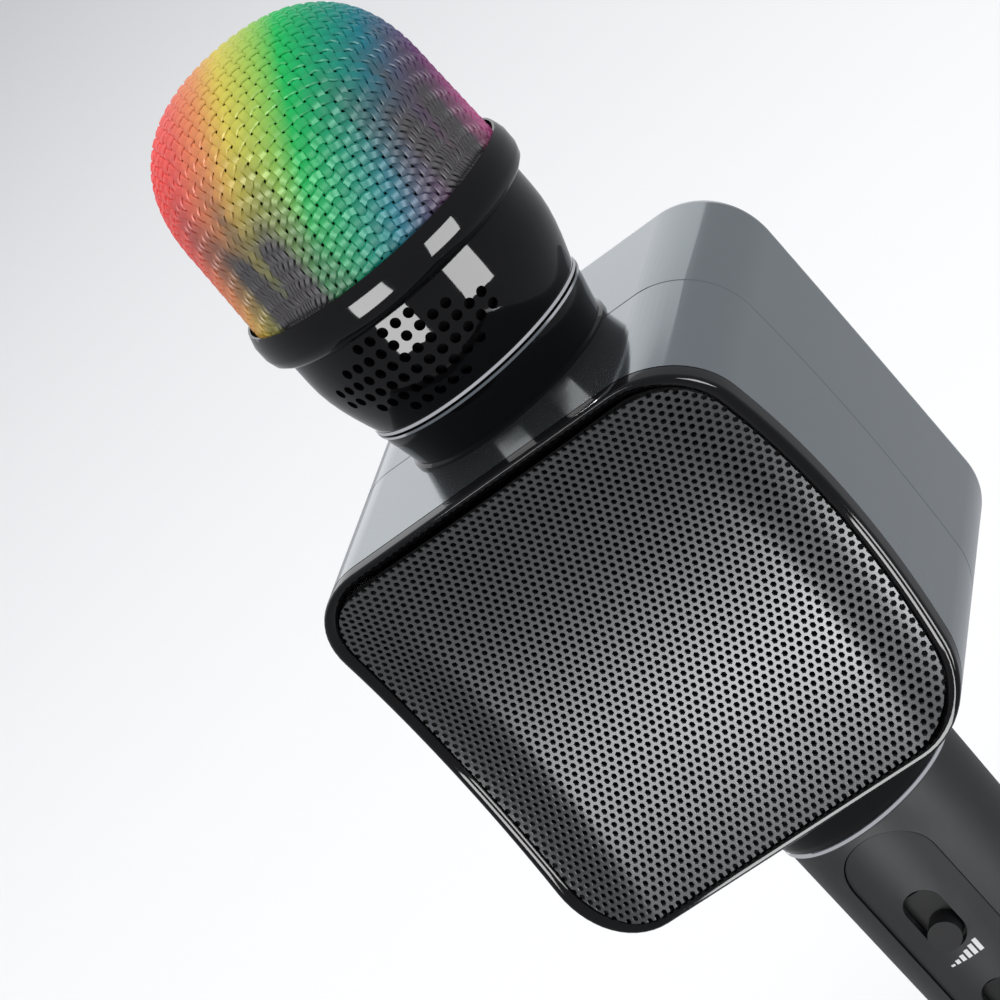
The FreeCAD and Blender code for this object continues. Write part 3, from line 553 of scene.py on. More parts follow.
# ---- the woven wire head ---------------------------------------------------------------------
WALL_BEND = 0.01465         # from the collar's top up to where the dome starts
DOME_POWER = 2.5            # squareness of the dome's outline
DOME_TAPER = 0.974          # radius where the dome starts, as a share of the head's radius
LIP_SHARE = 1 / 6           # share of the straight wall over which it widens to the head's radius
OUTLINE_TAIL = 0.12         # how far the outline runs on below the seat, for wires that end there
WIRE_COUNT = 36             # wires in the net from its middle one to its last, both counted
SETTLE_ROUNDS = 8           # times a crossing is drawn to its distance from its neighbours
WIRE_STEPS = 4              # sections of a wire between two crossings
PACKED_GAP = 0.16           # least distance between packed wires, as a share of the pitch
LEAST_HALF_WIRE = 0.00014   # half the width of the narrowest packed wire
SEAT_PLAY = 0.0005          # height above the seat at which the wires end
CREST = 0.7                 # power that makes a wire's waves flatter on top and steeper between

# a wire's section, in half widths and thicknesses
WIRE_SECTION = [(1.0, 0.0), (0.72, 0.5), (-0.72, 0.5), (-1.0, 0.0), (-0.72, -0.5), (0.72, -0.5)]


def head_outline(step=0.0002):
    """Distances along the head's outline from its top, with the radius and height at each."""
    bend = COLLAR_TOP + WALL_BEND
    bend_radius = HEAD_RADIUS * DOME_TAPER
    rise = HEAD_TOP - bend
    angles = np.linspace(0.0, math.pi / 2, 400)
    radius = bend_radius * np.sin(angles) ** (2 / DOME_POWER)
    height = bend + rise * np.cos(angles) ** (2 / DOME_POWER)
    wall = np.linspace(0.0, 1.0, 40)[1:]
    floor = HEAD_SEAT - OUTLINE_TAIL
    widening = (HEAD_RADIUS - bend_radius) * np.minimum(wall / LIP_SHARE, 1.0)
    radius = np.concatenate([radius, bend_radius + widening])
    height = np.concatenate([height, bend + (floor - bend) * wall])
    along = np.concatenate([[0.0], np.cumsum(np.hypot(np.diff(radius), np.diff(height)))])
    even = np.arange(0.0, along[-1], step)
    return even, np.interp(even, along, radius), np.interp(even, along, height)


class HeadSurface:
    """The head's outer surface, by distance along its outline and angle round the axis."""

    def __init__(self):
        self.along, self.radius, self.height = head_outline()

    def point(self, along, turn):
        radius = np.interp(along, self.along, self.radius)
        height = np.interp(along, self.along, self.height)
        return np.array([radius * math.cos(turn), radius * math.sin(turn), height])

    def place(self, point):
        """The nearest distance along the outline, and the angle, of a point near the surface."""
        radius = math.hypot(point[0], point[1])
        nearest = np.argmin((self.radius - radius) ** 2 + (self.height - point[2]) ** 2)
        return self.along[nearest], math.atan2(point[1], point[0])

    def outward(self, point, reach=0.0004):
        """The direction that points straight out of the surface at a point."""
        along, turn = self.place(point)
        wide = [np.interp(along + d, self.along, self.radius) for d in (-reach, reach)]
        tall = [np.interp(along + d, self.along, self.height) for d in (-reach, reach)]
        slope = math.atan2(wide[1] - wide[0], tall[0] - tall[1])
        return math.cos(turn) * math.cos(slope), math.sin(turn) * math.cos(slope), math.sin(slope)


def draped_net(surface, pitch, count):
    """Crossings of a square weave drawn down over the head, for one quarter of it.

    Each crossing lies one pitch from its two neighbours nearer the top, and wires that come close
    are kept apart by the gap that packed wires need.
    """
    quarter = math.pi / 4
    packed_gap = PACKED_GAP * pitch
    net = {}
    for i in range(count):
        net[i, 0] = (i * pitch, 0.0)
    for i in range(1, count):
        for j in range(1, i + 1):
            corner = surface.point(*net[i - 1, j - 1])
            beside = surface.point(*net[i, j - 1])
            if i == j:
                along, turn = net[i, j - 1]
                above = surface.point(along, 2 * quarter - turn)
            else:
                above = surface.point(*net[i - 1, j])
            guess = beside + above - corner
            for _ in range(SETTLE_ROUNDS):
                for near in (beside, above):
                    gap = guess - near
                    distance = np.linalg.norm(gap)
                    guess = guess + 0.5 * (pitch - distance) * gap / distance
                guess = surface.point(*surface.place(guess))
            along, turn = surface.place(guess)
            radius = max(math.hypot(guess[0], guess[1]), pitch)
            turn = min(turn, quarter - (i - j) * packed_gap / radius)
            net[i, j] = (along, quarter if i == j else turn)
    return net


def net_grid(surface, pitch, count):
    """Distance along the outline and angle of every crossing, over both wire numbers."""
    net = draped_net(surface, pitch, count)
    side = 2 * count - 1
    place = np.zeros((side, side, 2))
    for i in range(-count + 1, count):
        for j in range(-count + 1, count):
            a, b = abs(i), abs(j)
            along, turn = net[max(a, b), min(a, b)]
            if b > a:
                turn = math.pi / 2 - turn
            x, y = math.cos(turn) * (1 if i >= 0 else -1), math.sin(turn) * (1 if j >= 0 else -1)
            place[i + count - 1, j + count - 1] = (along, math.atan2(y, x) if a + b else 0.0)
    place[:, :, 1] += sizes().weave_turn
    return place


def wire_rings(points, outs, widths, offsets, thickness):
    """Flattened six-sided sections along one wire."""
    runs = unit_rows(np.gradient(points, axis=0))
    centres = points + outs * (offsets - thickness)[:, None]
    lean = unit_rows(np.gradient(centres, axis=0))
    sides = unit_rows(np.cross(outs, runs))
    ups = np.cross(lean, sides)
    rings = []
    for k in range(len(points)):
        ring = [centres[k] + sides[k] * u * widths[k] + ups[k] * v * thickness for u, v in WIRE_SECTION]
        rings.append(ring)
    return rings


def unit_rows(vectors):
    """Each row of an array at length 1."""
    return vectors / np.linalg.norm(vectors, axis=1)[:, None]


def wire_path(crossings, beside):
    """Points along a wire, their place counted in crossings, and the distance to the wires beside it."""
    knots = np.arange(len(crossings))
    count = np.linspace(0, len(crossings) - 1, (len(crossings) - 1) * WIRE_STEPS + 1)
    line = np.stack([np.interp(count, knots, crossings[:, c]) for c in range(3)], axis=1)
    run = unit_rows(np.gradient(crossings, axis=0))
    spacing = np.linalg.norm(np.cross(beside, run), axis=1)
    return line, count, np.interp(count, knots, spacing)


def weave_offsets(count, over_first):
    """How deep each point of a wire lies, going over and under the wires that it crosses."""
    wave = np.cos(math.pi * count)
    wave = np.sign(wave) * np.abs(wave) ** CREST
    return sizes().weave_rise * (wave * (1 if over_first else -1) - 1.0)


def woven_wires(name, surface, place, family):
    """All the wires that run one way, as one mesh with the attribute openness."""
    pitch = sizes().wire_pitch
    fill = sizes().wire_fill
    if family:
        place = place.transpose(1, 0, 2)
    side = place.shape[0]
    xyz = np.array([[surface.point(*place[i, j]) for j in range(side)] for i in range(side)])
    end = surface.along[np.argmin(abs(surface.height - HEAD_SEAT - MM))]
    points, faces, openness = [], [], []
    for j in range(1, side - 1):
        inside = np.where(place[:, j, 0] <= end + pitch)[0]
        if len(inside) < 2:
            continue
        span = slice(inside[0], inside[-1] + 1)
        line, count, spacing = wire_path(xyz[span, j], (xyz[span, j + 1] - xyz[span, j - 1]) / 2)
        keep = line[:, 2] >= HEAD_SEAT + SEAT_PLAY
        if keep.sum() < 3:
            continue
        line, count, spacing = line[keep], count[keep] + inside[0] + j, spacing[keep]
        outs = np.array([surface.outward(point) for point in line])
        widths = np.clip(spacing * fill / 2, LEAST_HALF_WIRE, pitch * fill / 2)
        rings = wire_rings(line, outs, widths, weave_offsets(count, family), sizes().wire_thickness)
        base = len(points)
        new_points, new_faces = loft(rings, close_ends=True)
        points += new_points
        faces += [[base + v for v in face] for face in new_faces]
        openness += [min(s / pitch, 1.0) for s in spacing for _ in rings[0]]
    piece = add_piece(name, points, faces)
    outward(piece)
    piece.data.shade_smooth()
    piece.data.set_sharp_from_angle(angle=math.radians(34))
    store = piece.data.attributes.new("openness", "FLOAT", "POINT")
    store.data.foreach_set("value", openness)
    return piece


class MICROPHONE_OT_wire_head(bpy.types.Operator):
    """Weaves the wire head from two sets of flattened wires drawn down over the dome"""
    bl_idname = "microphone.wire_head"
    bl_label = "Wire head"

    def execute(self, context):
        surface = HeadSurface()
        place = net_grid(surface, sizes().wire_pitch, WIRE_COUNT)
        material = painted_light_wire()
        for name, family in (("head_wires_along", 0), ("head_wires_across", 1)):
            piece = woven_wires(name, surface, place, family)
            finish_piece(piece, material, BODY, ["head_mesh"])
        return {"FINISHED"}


# ---- collar, vented cup and neck -------------------------------------------------------------
class MICROPHONE_OT_neck(bpy.types.Operator):
    """Makes the gloss collar, the vented cup, the bright trim and the neck bands"""
    bl_idname = "microphone.neck"
    bl_label = "Collar, cup and neck"

    def execute(self, context):
        for node in ("head_collar", "vent_cup", "neck_band", "lower_neck"):
            finish_copy(node, "_gloss", gloss_black())
        finish_copy("handle_ring", "_plated", bright_plating())
        ring = joined_copy("cup_trim_ring", "cup_trim_ring_beaded")
        finish_piece(ring, gloss_black(), BODY, ["cup_trim_ring"])
        ring.data.materials.append(bright_plating())
        foot, top = low("cup_trim_ring").z, high("cup_trim_ring").z
        for face in ring.data.polygons:
            edge = min(face.center.z - foot, top - face.center.z)
            face.material_index = 1 if edge < (top - foot) * sizes().bead_share else 0
        return {"FINISHED"}


# ---- speaker box -----------------------------------------------------------------------------
def box_outline(inset, corner_steps=14, side_steps=24, flat_steps=2):
    """Points (x, z) round the box's front outline, moved in by inset, from the middle of its right side."""
    w = BOX_HALF_WIDTH - inset
    h = BOX_HALF_HEIGHT - inset
    bulge = sizes().side_bulge
    corner = max(sizes().box_corner - inset, MM)
    bow = (h ** 2 + bulge ** 2) / (2 * bulge)
    corner_x = w - bow + math.sqrt((bow - corner) ** 2 - (h - corner) ** 2)
    lean = math.atan2(h - corner, corner_x - (w - bow))
    quarter = []
    for k in range(side_steps // 2):
        a = lean * k / (side_steps // 2)
        quarter.append((w - bow + bow * math.cos(a), bow * math.sin(a)))
    for k in range(corner_steps + 1):
        a = lean + (math.pi / 2 - lean) * k / corner_steps
        quarter.append((corner_x + corner * math.cos(a), h - corner + corner * math.sin(a)))
    for k in range(1, flat_steps * 4):
        quarter.append((corner_x * (1 - k / (flat_steps * 4)), h))
    top = quarter + [(0.0, h)] + [(-x, z) for x, z in quarter[:0:-1]]
    return top + [(-x, -z) for x, z in top]


def saddle(z):
    """How far the hollow front rim stands from the axis, at height z above the box's middle."""
    waist = sizes().box_waist
    radius = (BOX_HALF_HEIGHT ** 2 + waist ** 2) / (2 * waist)
    return RIM_DEPTH - waist + radius - np.sqrt(radius ** 2 - z ** 2)


JOINT_SINK = 0.8            # how far the joint's edge moves in, as a share of the bevel


def soften_joint(piece, side):
    """Bevels the edge at y = 0, where the halves of the box meet, so that the joint shows as a fine line."""
    bevel = sizes().joint_bevel
    work = bmesh.new()
    work.from_mesh(piece.data)
    geometry = work.verts[:] + work.edges[:] + work.faces[:]
    bmesh.ops.bisect_plane(work, geom=geometry, dist=1e-6, plane_co=(0, side * bevel, 0), plane_no=(0, 1, 0))
    work.normal_update()
    rim = [v for v in work.verts if abs(v.co.y) < 0.001 * MM]
    moves = [(v, Vector((v.normal.x, 0, v.normal.z)).normalized() * bevel * JOINT_SINK) for v in rim]
    for vertex, move in moves:
        vertex.co -= move
    work.to_mesh(piece.data)
    work.free()


class MICROPHONE_OT_box(bpy.types.Operator):
    """Makes the front and rear halves of the lacquered speaker box"""
    bl_idname = "microphone.box"
    bl_label = "Speaker box"

    def execute(self, context):
        for node, side in (("front_housing", -1), ("rear_housing", 1)):
            piece = joined_copy(node, node + "_lacquered", None)
            soften_joint(piece, side)
            smooth(piece, 24)
            finish_piece(piece, housing_lacquer(), BODY, [node])
        return {"FINISHED"}


class MICROPHONE_OT_bezel(bpy.types.Operator):
    """Sweeps the rounded gloss frame round the grille"""
    bl_idname = "microphone.bezel"
    bl_label = "Grille frame"

    def execute(self, context):
        width = sizes().bezel_width
        depth = sizes().bezel_depth
        section = [         # how far each point lies in from the outline, and back from the rim
            (0.0, depth), (0.0, 0.0012), (0.00012, 0.0006), (0.0004, 0.0002), (0.0008, 0.00003),
            (0.0012, 0.0), (0.0016, 0.00006), (0.002, 0.00028), (0.0023, 0.0007), (width, 0.0013),
            (width, depth),
        ]
        rings = []
        for inset, sink in section:
            rings.append([(x, -saddle(z) + sink, BOX_MIDDLE + z) for x, z in box_outline(inset)])
        piece = add_piece("front_bezel_gloss", *loft(rings, cyclic=True))
        outward(piece)
        smooth(piece, 40)
        finish_piece(piece, gloss_black(), BODY, ["front_bezel"])
        return {"FINISHED"}


# ---- perforated grille -----------------------------------------------------------------------
HOLE_BEVEL = 0.06 * MM
GRILLE_SINK = 0.6 * MM      # how far the sheet's edge lies behind the frame's front
GRILLE_GAP = 0.15 * MM      # between the sheet and the frame round it


def perforated_tile():
    """One six-sided cell of the sheet with its hole, lying in X and Z with its front at y = 0."""
    cell = sizes().hole_pitch / math.sqrt(3)
    hole = sizes().hole_radius
    thickness = sizes().sheet_thickness
    mouth = hole + HOLE_BEVEL
    section = ((cell, 0.0), (mouth, 0.0), (hole, HOLE_BEVEL), (hole, thickness), (cell, thickness))
    rings = []
    for radius, y in section:
        ring = []
        for k in range(6):
            a = math.pi / 6 + k * math.pi / 3
            ring.append((radius * math.cos(a), y, radius * math.sin(a)))
        rings.append(ring)
    return add_piece("grille_tile", *loft(rings))


def socket_named(tree, name):
    """The identifier of a tree's named input."""
    for item in tree.interface.items_tree:
        if item.name == name and item.in_out == "INPUT":
            return item.identifier
    raise RuntimeError("no input named " + name)


def geometry_tree(name, inputs):
    """A geometry node tree with named inputs, and its input and output nodes."""
    tree = bpy.data.node_groups.new(name, "GeometryNodeTree")
    for label, kind, default in inputs:
        socket = tree.interface.new_socket(name=label, in_out="INPUT", socket_type=kind)
        if default is not None:
            socket.default_value = default
    tree.interface.new_socket(name="Geometry", in_out="OUTPUT", socket_type="NodeSocketGeometry")
    return tree, tree.nodes.new("NodeGroupInput"), tree.nodes.new("NodeGroupOutput")


def perforation_tree():
    """Sets the tile on the points of a staggered grid."""
    tree, given, made = geometry_tree("Staggered perforations", [
        ("Width", "NodeSocketFloat", 0.08), ("Height", "NodeSocketFloat", 0.08),
        ("Pitch", "NodeSocketFloat", 0.0015), ("Tile", "NodeSocketObject", None),
        ("Material", "NodeSocketMaterial", None),
    ])
    pitch = given.outputs["Pitch"]
    row_step = math_node(tree, "MULTIPLY", pitch, math.sqrt(3) / 2)
    columns = math_node(tree, "CEIL", math_node(tree, "DIVIDE", given.outputs["Width"], pitch))
    rows = math_node(tree, "CEIL", math_node(tree, "DIVIDE", given.outputs["Height"], row_step))
    grid = tree.nodes.new("GeometryNodeMeshGrid")
    for count, step, side in ((columns, pitch, "Size X"), (rows, row_step, "Size Y")):
        gaps = math_node(tree, "SUBTRACT", count, 1.0)
        link(tree, math_node(tree, "MULTIPLY", gaps, step), grid.inputs[side])
    link(tree, columns, grid.inputs["Vertices X"])
    link(tree, rows, grid.inputs["Vertices Y"])
    position = tree.nodes.new("GeometryNodeInputPosition")
    split = tree.nodes.new("ShaderNodeSeparateXYZ")
    link(tree, position.outputs[0], split.inputs[0])
    index = tree.nodes.new("GeometryNodeInputIndex")
    odd = math_node(tree, "MODULO", math_node(tree, "MODULO", index.outputs[0], rows), 2.0)
    shift = math_node(tree, "MULTIPLY", math_node(tree, "SUBTRACT", odd, 0.5),
                      math_node(tree, "MULTIPLY", pitch, 0.5))
    upright = tree.nodes.new("ShaderNodeCombineXYZ")
    link(tree, math_node(tree, "ADD", split.outputs[0], shift), upright.inputs[0])
    link(tree, split.outputs[1], upright.inputs[2])
    move = tree.nodes.new("GeometryNodeSetPosition")
    link(tree, grid.outputs["Mesh"], move.inputs["Geometry"])
    link(tree, upright.outputs[0], move.inputs["Position"])
    tile = tree.nodes.new("GeometryNodeObjectInfo")
    link(tree, given.outputs["Tile"], tile.inputs["Object"])
    copies = tree.nodes.new("GeometryNodeInstanceOnPoints")
    link(tree, move.outputs[0], copies.inputs["Points"])
    link(tree, tile.outputs["Geometry"], copies.inputs["Instance"])
    real = tree.nodes.new("GeometryNodeRealizeInstances")
    link(tree, copies.outputs[0], real.inputs[0])
    paint = tree.nodes.new("GeometryNodeSetMaterial")
    link(tree, real.outputs[0], paint.inputs["Geometry"])
    link(tree, given.outputs["Material"], paint.inputs["Material"])
    link(tree, paint.outputs[0], made.inputs["Geometry"])
    return tree


def run_geometry(name, tree, values):
    """Runs a geometry tree on an empty mesh and keeps what it makes as a plain mesh."""
    piece = bpy.data.objects.new(name, bpy.data.meshes.new(name))
    bpy.context.scene.collection.objects.link(piece)
    modifier = piece.modifiers.new("Nodes", "NODES")
    modifier.node_group = tree
    for label, value in values.items():
        modifier[socket_named(tree, label)] = value
    return bake_modifiers(piece)


def clip_to_outline(piece, inset):
    """Joins the cells of a flat sheet in X and Z and cuts it to the box's outline, edge by edge."""
    corners = box_outline(inset, corner_steps=6, side_steps=6, flat_steps=1)
    work = bmesh.new()
    work.from_mesh(piece.data)
    bmesh.ops.remove_doubles(work, verts=work.verts, dist=0.01 * MM)
    seen = []
    for (x0, z0), (x1, z1) in zip(corners, corners[1:] + corners[:1]):
        normal = Vector((z1 - z0, 0, x0 - x1)).normalized()
        if any(normal.dot(other) > 0.99999 for other in seen):
            continue
        seen.append(normal)
        geometry = work.verts[:] + work.edges[:] + work.faces[:]
        bmesh.ops.bisect_plane(work, geom=geometry, dist=1e-6, plane_co=(x0, 0, z0), plane_no=normal,
                               clear_outer=True)
    work.to_mesh(piece.data)
    work.free()


def grille_front(x, z):
    """Depth of the grille's front: hollow along Z, with a flat crown that slopes off at each side."""
    edge = BOX_HALF_WIDTH - sizes().bezel_width
    share = np.clip((edge - np.abs(x)) / sizes().grille_shoulder, 0.0, 1.0)
    crown = sizes().grille_crown * share * share * (3 - 2 * share)
    return -saddle(z) + GRILLE_SINK - crown


class MICROPHONE_OT_grille(bpy.types.Operator):
    """Makes the perforated speaker grille, row by row of holes, and bends it to the box's front"""
    bl_idname = "microphone.grille"
    bl_label = "Speaker grille"

    def execute(self, context):
        tile = perforated_tile()
        piece = run_geometry("front_grille_perforated", perforation_tree(), {
            "Width": 2 * BOX_HALF_WIDTH, "Height": 2 * BOX_HALF_HEIGHT, "Pitch": sizes().hole_pitch,
            "Tile": tile, "Material": grille_paint(),
        })
        bpy.data.objects.remove(tile)
        clip_to_outline(piece, sizes().bezel_width + GRILLE_GAP)
        mesh = piece.data
        spots = np.zeros(len(mesh.vertices) * 3)
        mesh.vertices.foreach_get("co", spots)
        spots = spots.reshape(-1, 3)
        spots[:, 1] += grille_front(spots[:, 0], spots[:, 2])
        spots[:, 2] += BOX_MIDDLE
        mesh.vertices.foreach_set("co", spots.ravel())
        mesh.update()
        mesh.shade_smooth()
        mesh.set_sharp_from_angle(angle=math.radians(30))
        finish_piece(piece, grille_paint(), BODY, ["front_grille"])
        dress_node("grille_cloth", soft_black("grille_cloth_black", 3500.0, 0.0001))
        return {"FINISHED"}


class MICROPHONE_OT_back(bpy.types.Operator):
    """Makes the slotted rear grille"""
    bl_idname = "microphone.back"
    bl_label = "Back grille"

    def execute(self, context):
        finish_copy("rear_grille", "_slotted", grille_paint())
        return {"FINISHED"}


# ---- handle, controls and ports --------------------------------------------------------------
class MICROPHONE_OT_handle(bpy.types.Operator):
    """Makes the tapered handle, its inset control panel and the end cap"""
    bl_idname = "microphone.handle"
    bl_label = "Handle"

    def execute(self, context):
        finish_piece(joined_copy("handle_tube", "handle_satin"), satin_plastic(), BODY,
                     ["handle_tube"])
        finish_copy("end_cap", "_satin", satin_plastic())
        finish_copy("control_panel", "_satin", panel_plastic())
        return {"FINISHED"}


class MICROPHONE_OT_controls(bpy.types.Operator):
    """Makes the slider knobs and the push buttons"""
    bl_idname = "microphone.controls"
    bl_label = "Knobs and buttons"

    def execute(self, context):
        for node in ("volume_knob", "echo_knob", "power_button", "previous_button", "next_button"):
            finish_copy(node, "_cap", key_plastic(), node)
        return {"FINISHED"}


PRINT_ROOT = 0.1 * MM       # how far a printed mark reaches into the surface under it


def printed_patch(shapes, height_at):
    """Points and faces of thin raised marks. A shape is an outline (x, z), and height_at gives its depth."""
    points, faces = [], []
    lift = sizes().print_height
    for shape in shapes:
        rings = []
        for rise in (-PRINT_ROOT, lift):
            rings.append([(x, height_at(x, z) - rise, z) for x, z in shape])
        base = len(points)
        new_points, new_faces = loft(rings, close_ends=True)
        points += new_points
        faces += [[base + v for v in face] for face in new_faces]
    return points, faces


def printed_mark(name, shapes, height_at, body):
    """Prints shapes as one white piece that moves with a body."""
    piece = add_piece(name, *printed_patch(shapes, height_at))
    outward(piece)
    finish_piece(piece, printed_white(), body)


def rectangle(x0, x1, z0, z1):
    return [(x0, z0), (x1, z0), (x1, z1), (x0, z1)]


def ring_part(x, z, inner, outer, start, end, steps=16):
    """Quads of a flat ring from one angle to another, in degrees."""
    turns = [math.radians(start + (end - start) * k / steps) for k in range(steps + 1)]
    quads = []
    for a, b in zip(turns, turns[1:]):
        quads.append([(x + r * math.cos(t), z + r * math.sin(t)) for r, t in
                      ((inner, a), (outer, a), (outer, b), (inner, b))])
    return quads


def panel_depth(x, z):
    """Depth of the control panel's curved face."""
    share = (z - HANDLE_FOOT) / (HANDLE_TOP - HANDLE_FOOT)
    radius = HANDLE_FOOT_RADIUS + (HANDLE_TOP_RADIUS - HANDLE_FOOT_RADIUS) * share - PANEL_SINK
    return -math.sqrt(radius ** 2 - x ** 2)


RAMP_BARS = 6
BAR_FILL = 0.66             # share of a bar's step that is printed
RAMP_RISE = 0.36            # height of the tallest bar, as a share of the ramp's width
STROKE = 0.3 * MM           # width of a printed line
WAVE_COUNT = 3
WAVE_START = 0.8 * MM       # inner radius of the smallest wave
WAVE_STEP = 0.75 * MM
ARROW_LENGTH = 0.95 * MM
ARROW_HALF_HEIGHT = 0.75 * MM
ARROW_GAP = 0.05 * MM       # between the two arrow heads of a skip sign
SKIP_BAR_PLACE = 1.15 * MM  # from the sign's middle out to its bar
SKIP_BAR_WIDTH = 0.26 * MM
POWER_RING = (1.05 * MM, 1.35 * MM)     # inner and outer radius
POWER_STROKE = (0.3 * MM, 1.6 * MM)     # foot and top of the stroke, above the middle


def volume_ramp():
    """Bars that rise to the right, under the volume knob."""
    width = sizes().mark_width
    step = width / RAMP_BARS
    foot = mark_foot("volume_knob")
    bars = []
    for k in range(RAMP_BARS):
        x = -width / 2 + k * step
        bars.append(rectangle(x, x + BAR_FILL * step, foot, foot + RAMP_RISE * width * (k + 1) / RAMP_BARS))
    return bars


def echo_waves():
    """Three waves, under the echo knob."""
    waves = []
    for k in range(WAVE_COUNT):
        radius = WAVE_START + WAVE_STEP * k
        waves += ring_part(-MM, mark_foot("echo_knob") + MM, radius, radius + STROKE, -45, 45, 8)
    return waves


def mark_foot(knob):
    """Height of the foot of the mark under a knob."""
    return (low(knob).z + high(knob).z) / 2 - sizes().mark_drop


def power_sign(x, z):
    """A ring that is open at the top, with a stroke in the opening."""
    ring = ring_part(x, z, *POWER_RING, 125, 415, 20)
    foot, top = POWER_STROKE
    return ring + [rectangle(x - STROKE / 2, x + STROKE / 2, z + foot, z + top)]


def skip_sign(x, z, way):
    """Two arrow heads and a bar, pointing along X by way."""
    shapes = []
    for shift in (-ARROW_LENGTH, ARROW_GAP):
        tip = x + way * (shift + ARROW_LENGTH)
        back = x + way * shift
        shapes.append([(back, z - ARROW_HALF_HEIGHT), (tip, z), (back, z + ARROW_HALF_HEIGHT)][::way])
    bar = x + way * SKIP_BAR_PLACE
    half = SKIP_BAR_WIDTH / 2
    return shapes + [rectangle(bar - half, bar + half, z - ARROW_HALF_HEIGHT, z + ARROW_HALF_HEIGHT)]


class MICROPHONE_OT_marks(bpy.types.Operator):
    """Prints a rising volume ramp, echo waves and the usual signs on the three buttons"""
    bl_idname = "microphone.marks"
    bl_label = "Printed marks"

    def execute(self, context):
        printed_mark("volume_mark", volume_ramp(), panel_depth, BODY)
        printed_mark("echo_mark", echo_waves(), panel_depth, BODY)
        for node in ("power_button", "previous_button", "next_button"):
            lowest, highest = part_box(node)
            x, z = (lowest.x + highest.x) / 2, (lowest.z + highest.z) / 2
            if node == "power_button":
                sign = power_sign(x, z)
            else:
                sign = skip_sign(x, z, 1 if node == "next_button" else -1)
            printed_mark(node + "_mark", sign, lambda a, b: lowest.y, node)
        return {"FINISHED"}


class MICROPHONE_OT_insides(bpy.types.Operator):
    """Gives every inner part that shows through a hole or a slot its finish"""
    bl_idname = "microphone.insides"
    bl_label = "Inner parts"

    def execute(self, context):
        finishes = {
            "foam": lambda: soft_black("foam_black", 1600.0, 0.0004),
            "cloth": lambda: soft_black("cloth_black", 3500.0, 0.0001),
        }
        for part in frame["record"]["subparts"]:
            node = part["node"]
            slot = part["material_slot"]
            if frame["nodes"][node].hide_render:
                continue
            dress_node(node, finishes[slot]() if slot in finishes else plain_finish(slot))
        return {"FINISHED"}


# ---- floor, light and camera -----------------------------------------------------------------
HEAD_LEVEL = (0, 0, 0.22)
BOX_LEVEL = (0, 0, 0.15)
FLOOR_REACH = 4.0           # from the microphone to the floor's edges
SKY_COLOUR = (0.93, 0.95, 1.0, 1)
SKY_STRENGTH = 0.5

# name, place, what it points at, width, height, power in watts, and whether it is mirrored
LAMPS = (
    ("Front softbox", (-0.078, -0.483, 0.117), HEAD_LEVEL, 0.26, 0.2, 4.0, True),
    ("Right softbox", (0.41, -0.28, 0.115), HEAD_LEVEL, 0.24, 0.2, 3.4, True),
    ("Back softbox", (-0.37, 0.82, 0.42), BOX_LEVEL, 1.2, 0.5, 1.15, True),
    ("Overhead softbox", (0.2, -0.2, 2.2), BOX_LEVEL, 3.0, 3.0, 58.0, False),
)


def add_light(name, place, aim, width, height, power, mirrored):
    """A soft lamp. A mirrored one shows only in reflections, and any other only lights dull surfaces."""
    lamp = bpy.data.lights.new(name, "AREA")
    lamp.shape = "RECTANGLE"
    lamp.size = width
    lamp.size_y = height
    lamp.energy = power
    holder = bpy.data.objects.new(name, lamp)
    bpy.context.scene.collection.objects.link(holder)
    holder.location = place
    holder.rotation_euler = (Vector(aim) - Vector(place)).to_track_quat("-Z", "Y").to_euler()
    holder.visible_diffuse = not mirrored
    holder.visible_glossy = mirrored


def add_camera():
    """The camera, turned about its line of sight by the stage's roll."""
    stage = bpy.context.scene.microphone_stage
    camera = bpy.data.cameras.new("Camera")
    camera.lens = stage.lens
    camera.sensor_width = 36.0
    camera.clip_start = 0.05
    camera.clip_end = 20.0
    holder = bpy.data.objects.new("Camera", camera)
    bpy.context.scene.collection.objects.link(holder)
    back = Vector((math.sin(stage.azimuth) * math.cos(stage.elevation),
                   -math.cos(stage.azimuth) * math.cos(stage.elevation), math.sin(stage.elevation)))
    holder.location = Vector(stage.aim) + back * stage.distance
    holder.rotation_mode = "QUATERNION"
    holder.rotation_quaternion = Quaternion(back, -stage.roll) @ (-back).to_track_quat("-Z", "Y")
    bpy.context.scene.camera = holder


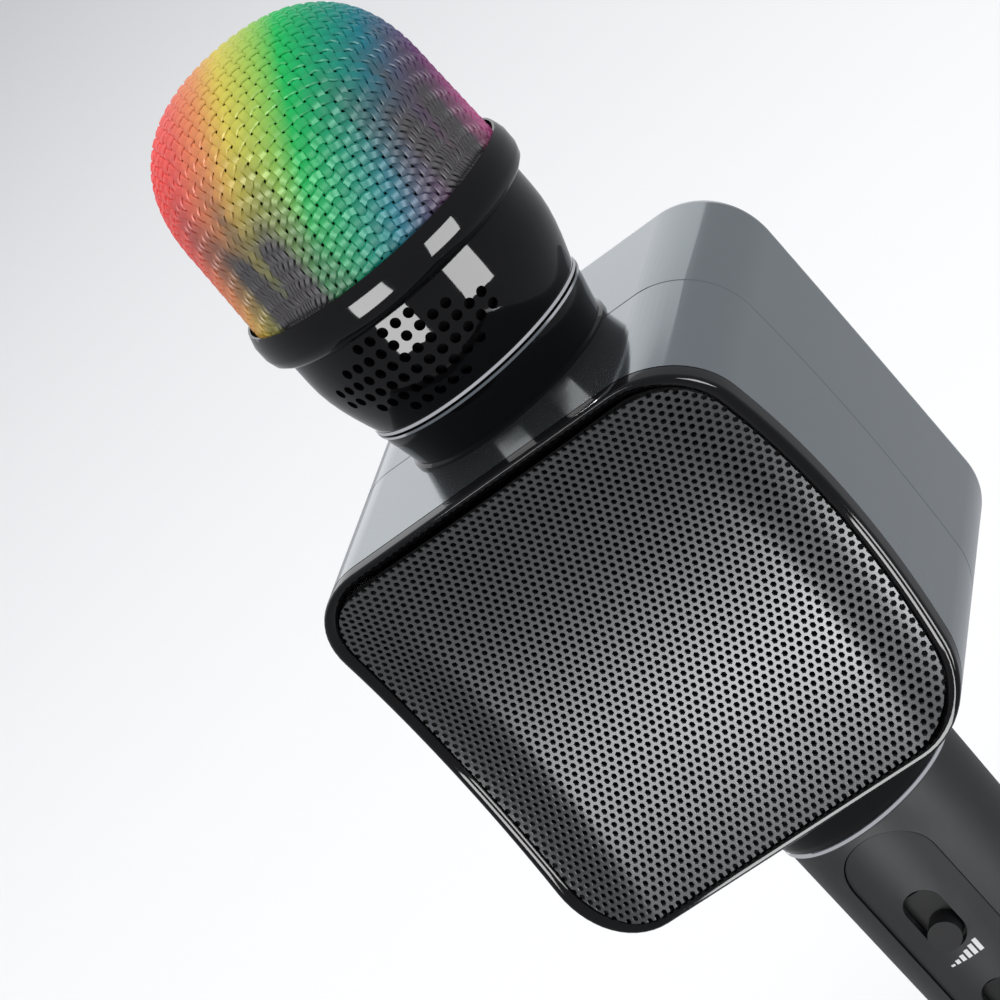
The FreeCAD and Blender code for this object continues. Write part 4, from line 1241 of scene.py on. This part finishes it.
class MICROPHONE_OT_stage(bpy.types.Operator):
    """Lays the pale floor, sets the soft lights and places the camera"""
    bl_idname = "microphone.stage"
    bl_label = "Floor, light and camera"

    def execute(self, context):
        far = FLOOR_REACH
        corners = [(-far, -far, 0), (far, -far, 0), (far, far, 0), (-far, far, 0)]
        floor = add_piece("floor", corners, [[0, 1, 2, 3]])
        paper = finish_material("floor_paper", colours().floor, 0.8, grain=60.0, tone=0.02, bump=0.01,
                                smears=0.0, specular=0.2)
        floor.data.materials.append(paper)
        floor.visible_glossy = False
        world = bpy.data.worlds.new("Studio")
        bpy.context.scene.world = world
        bpy.context.scene.view_settings.view_transform = "Standard"
        world.use_nodes = True
        world.node_tree.nodes["Background"].inputs["Color"].default_value = SKY_COLOUR
        world.node_tree.nodes["Background"].inputs["Strength"].default_value = SKY_STRENGTH
        for lamp in LAMPS:
            add_light(*lamp)
        add_camera()
        return {"FINISHED"}


# ---- panel and running -----------------------------------------------------------------------
STEPS = (
    MICROPHONE_OT_wire_head, MICROPHONE_OT_neck, MICROPHONE_OT_box, MICROPHONE_OT_bezel, MICROPHONE_OT_grille,
    MICROPHONE_OT_back, MICROPHONE_OT_handle, MICROPHONE_OT_controls, MICROPHONE_OT_marks,
    MICROPHONE_OT_insides, MICROPHONE_OT_stage,
)


class MICROPHONE_PT_panel(bpy.types.Panel):
    """Lists the steps that build the microphone"""
    bl_idname = "MICROPHONE_PT_panel"
    bl_label = "Karaoke microphone"
    bl_space_type = "VIEW_3D"
    bl_region_type = "UI"
    bl_category = "Microphone"

    def draw(self, context):
        for step in STEPS:
            self.layout.operator(step.bl_idname)
        scene = context.scene
        for group in (scene.microphone_sizes, scene.microphone_colours, scene.microphone_stage):
            for name in group.__annotations__:
                self.layout.prop(group, name)


GROUPS = (MicrophoneSizes, MicrophoneColours, MicrophoneStage)
CLASSES = GROUPS + STEPS + (MICROPHONE_PT_panel,)


def register():
    for item in CLASSES:
        bpy.utils.register_class(item)
    bpy.types.Scene.microphone_sizes = PointerProperty(type=MicrophoneSizes)
    bpy.types.Scene.microphone_colours = PointerProperty(type=MicrophoneColours)
    bpy.types.Scene.microphone_stage = PointerProperty(type=MicrophoneStage)


def unregister():
    del bpy.types.Scene.microphone_stage
    del bpy.types.Scene.microphone_colours
    del bpy.types.Scene.microphone_sizes
    for item in reversed(CLASSES):
        bpy.utils.unregister_class(item)


def main():
    register()
    for step in STEPS:
        family, name = step.bl_idname.split(".")
        getattr(getattr(bpy.ops, family), name)()


if __name__ == "__main__":
    main()
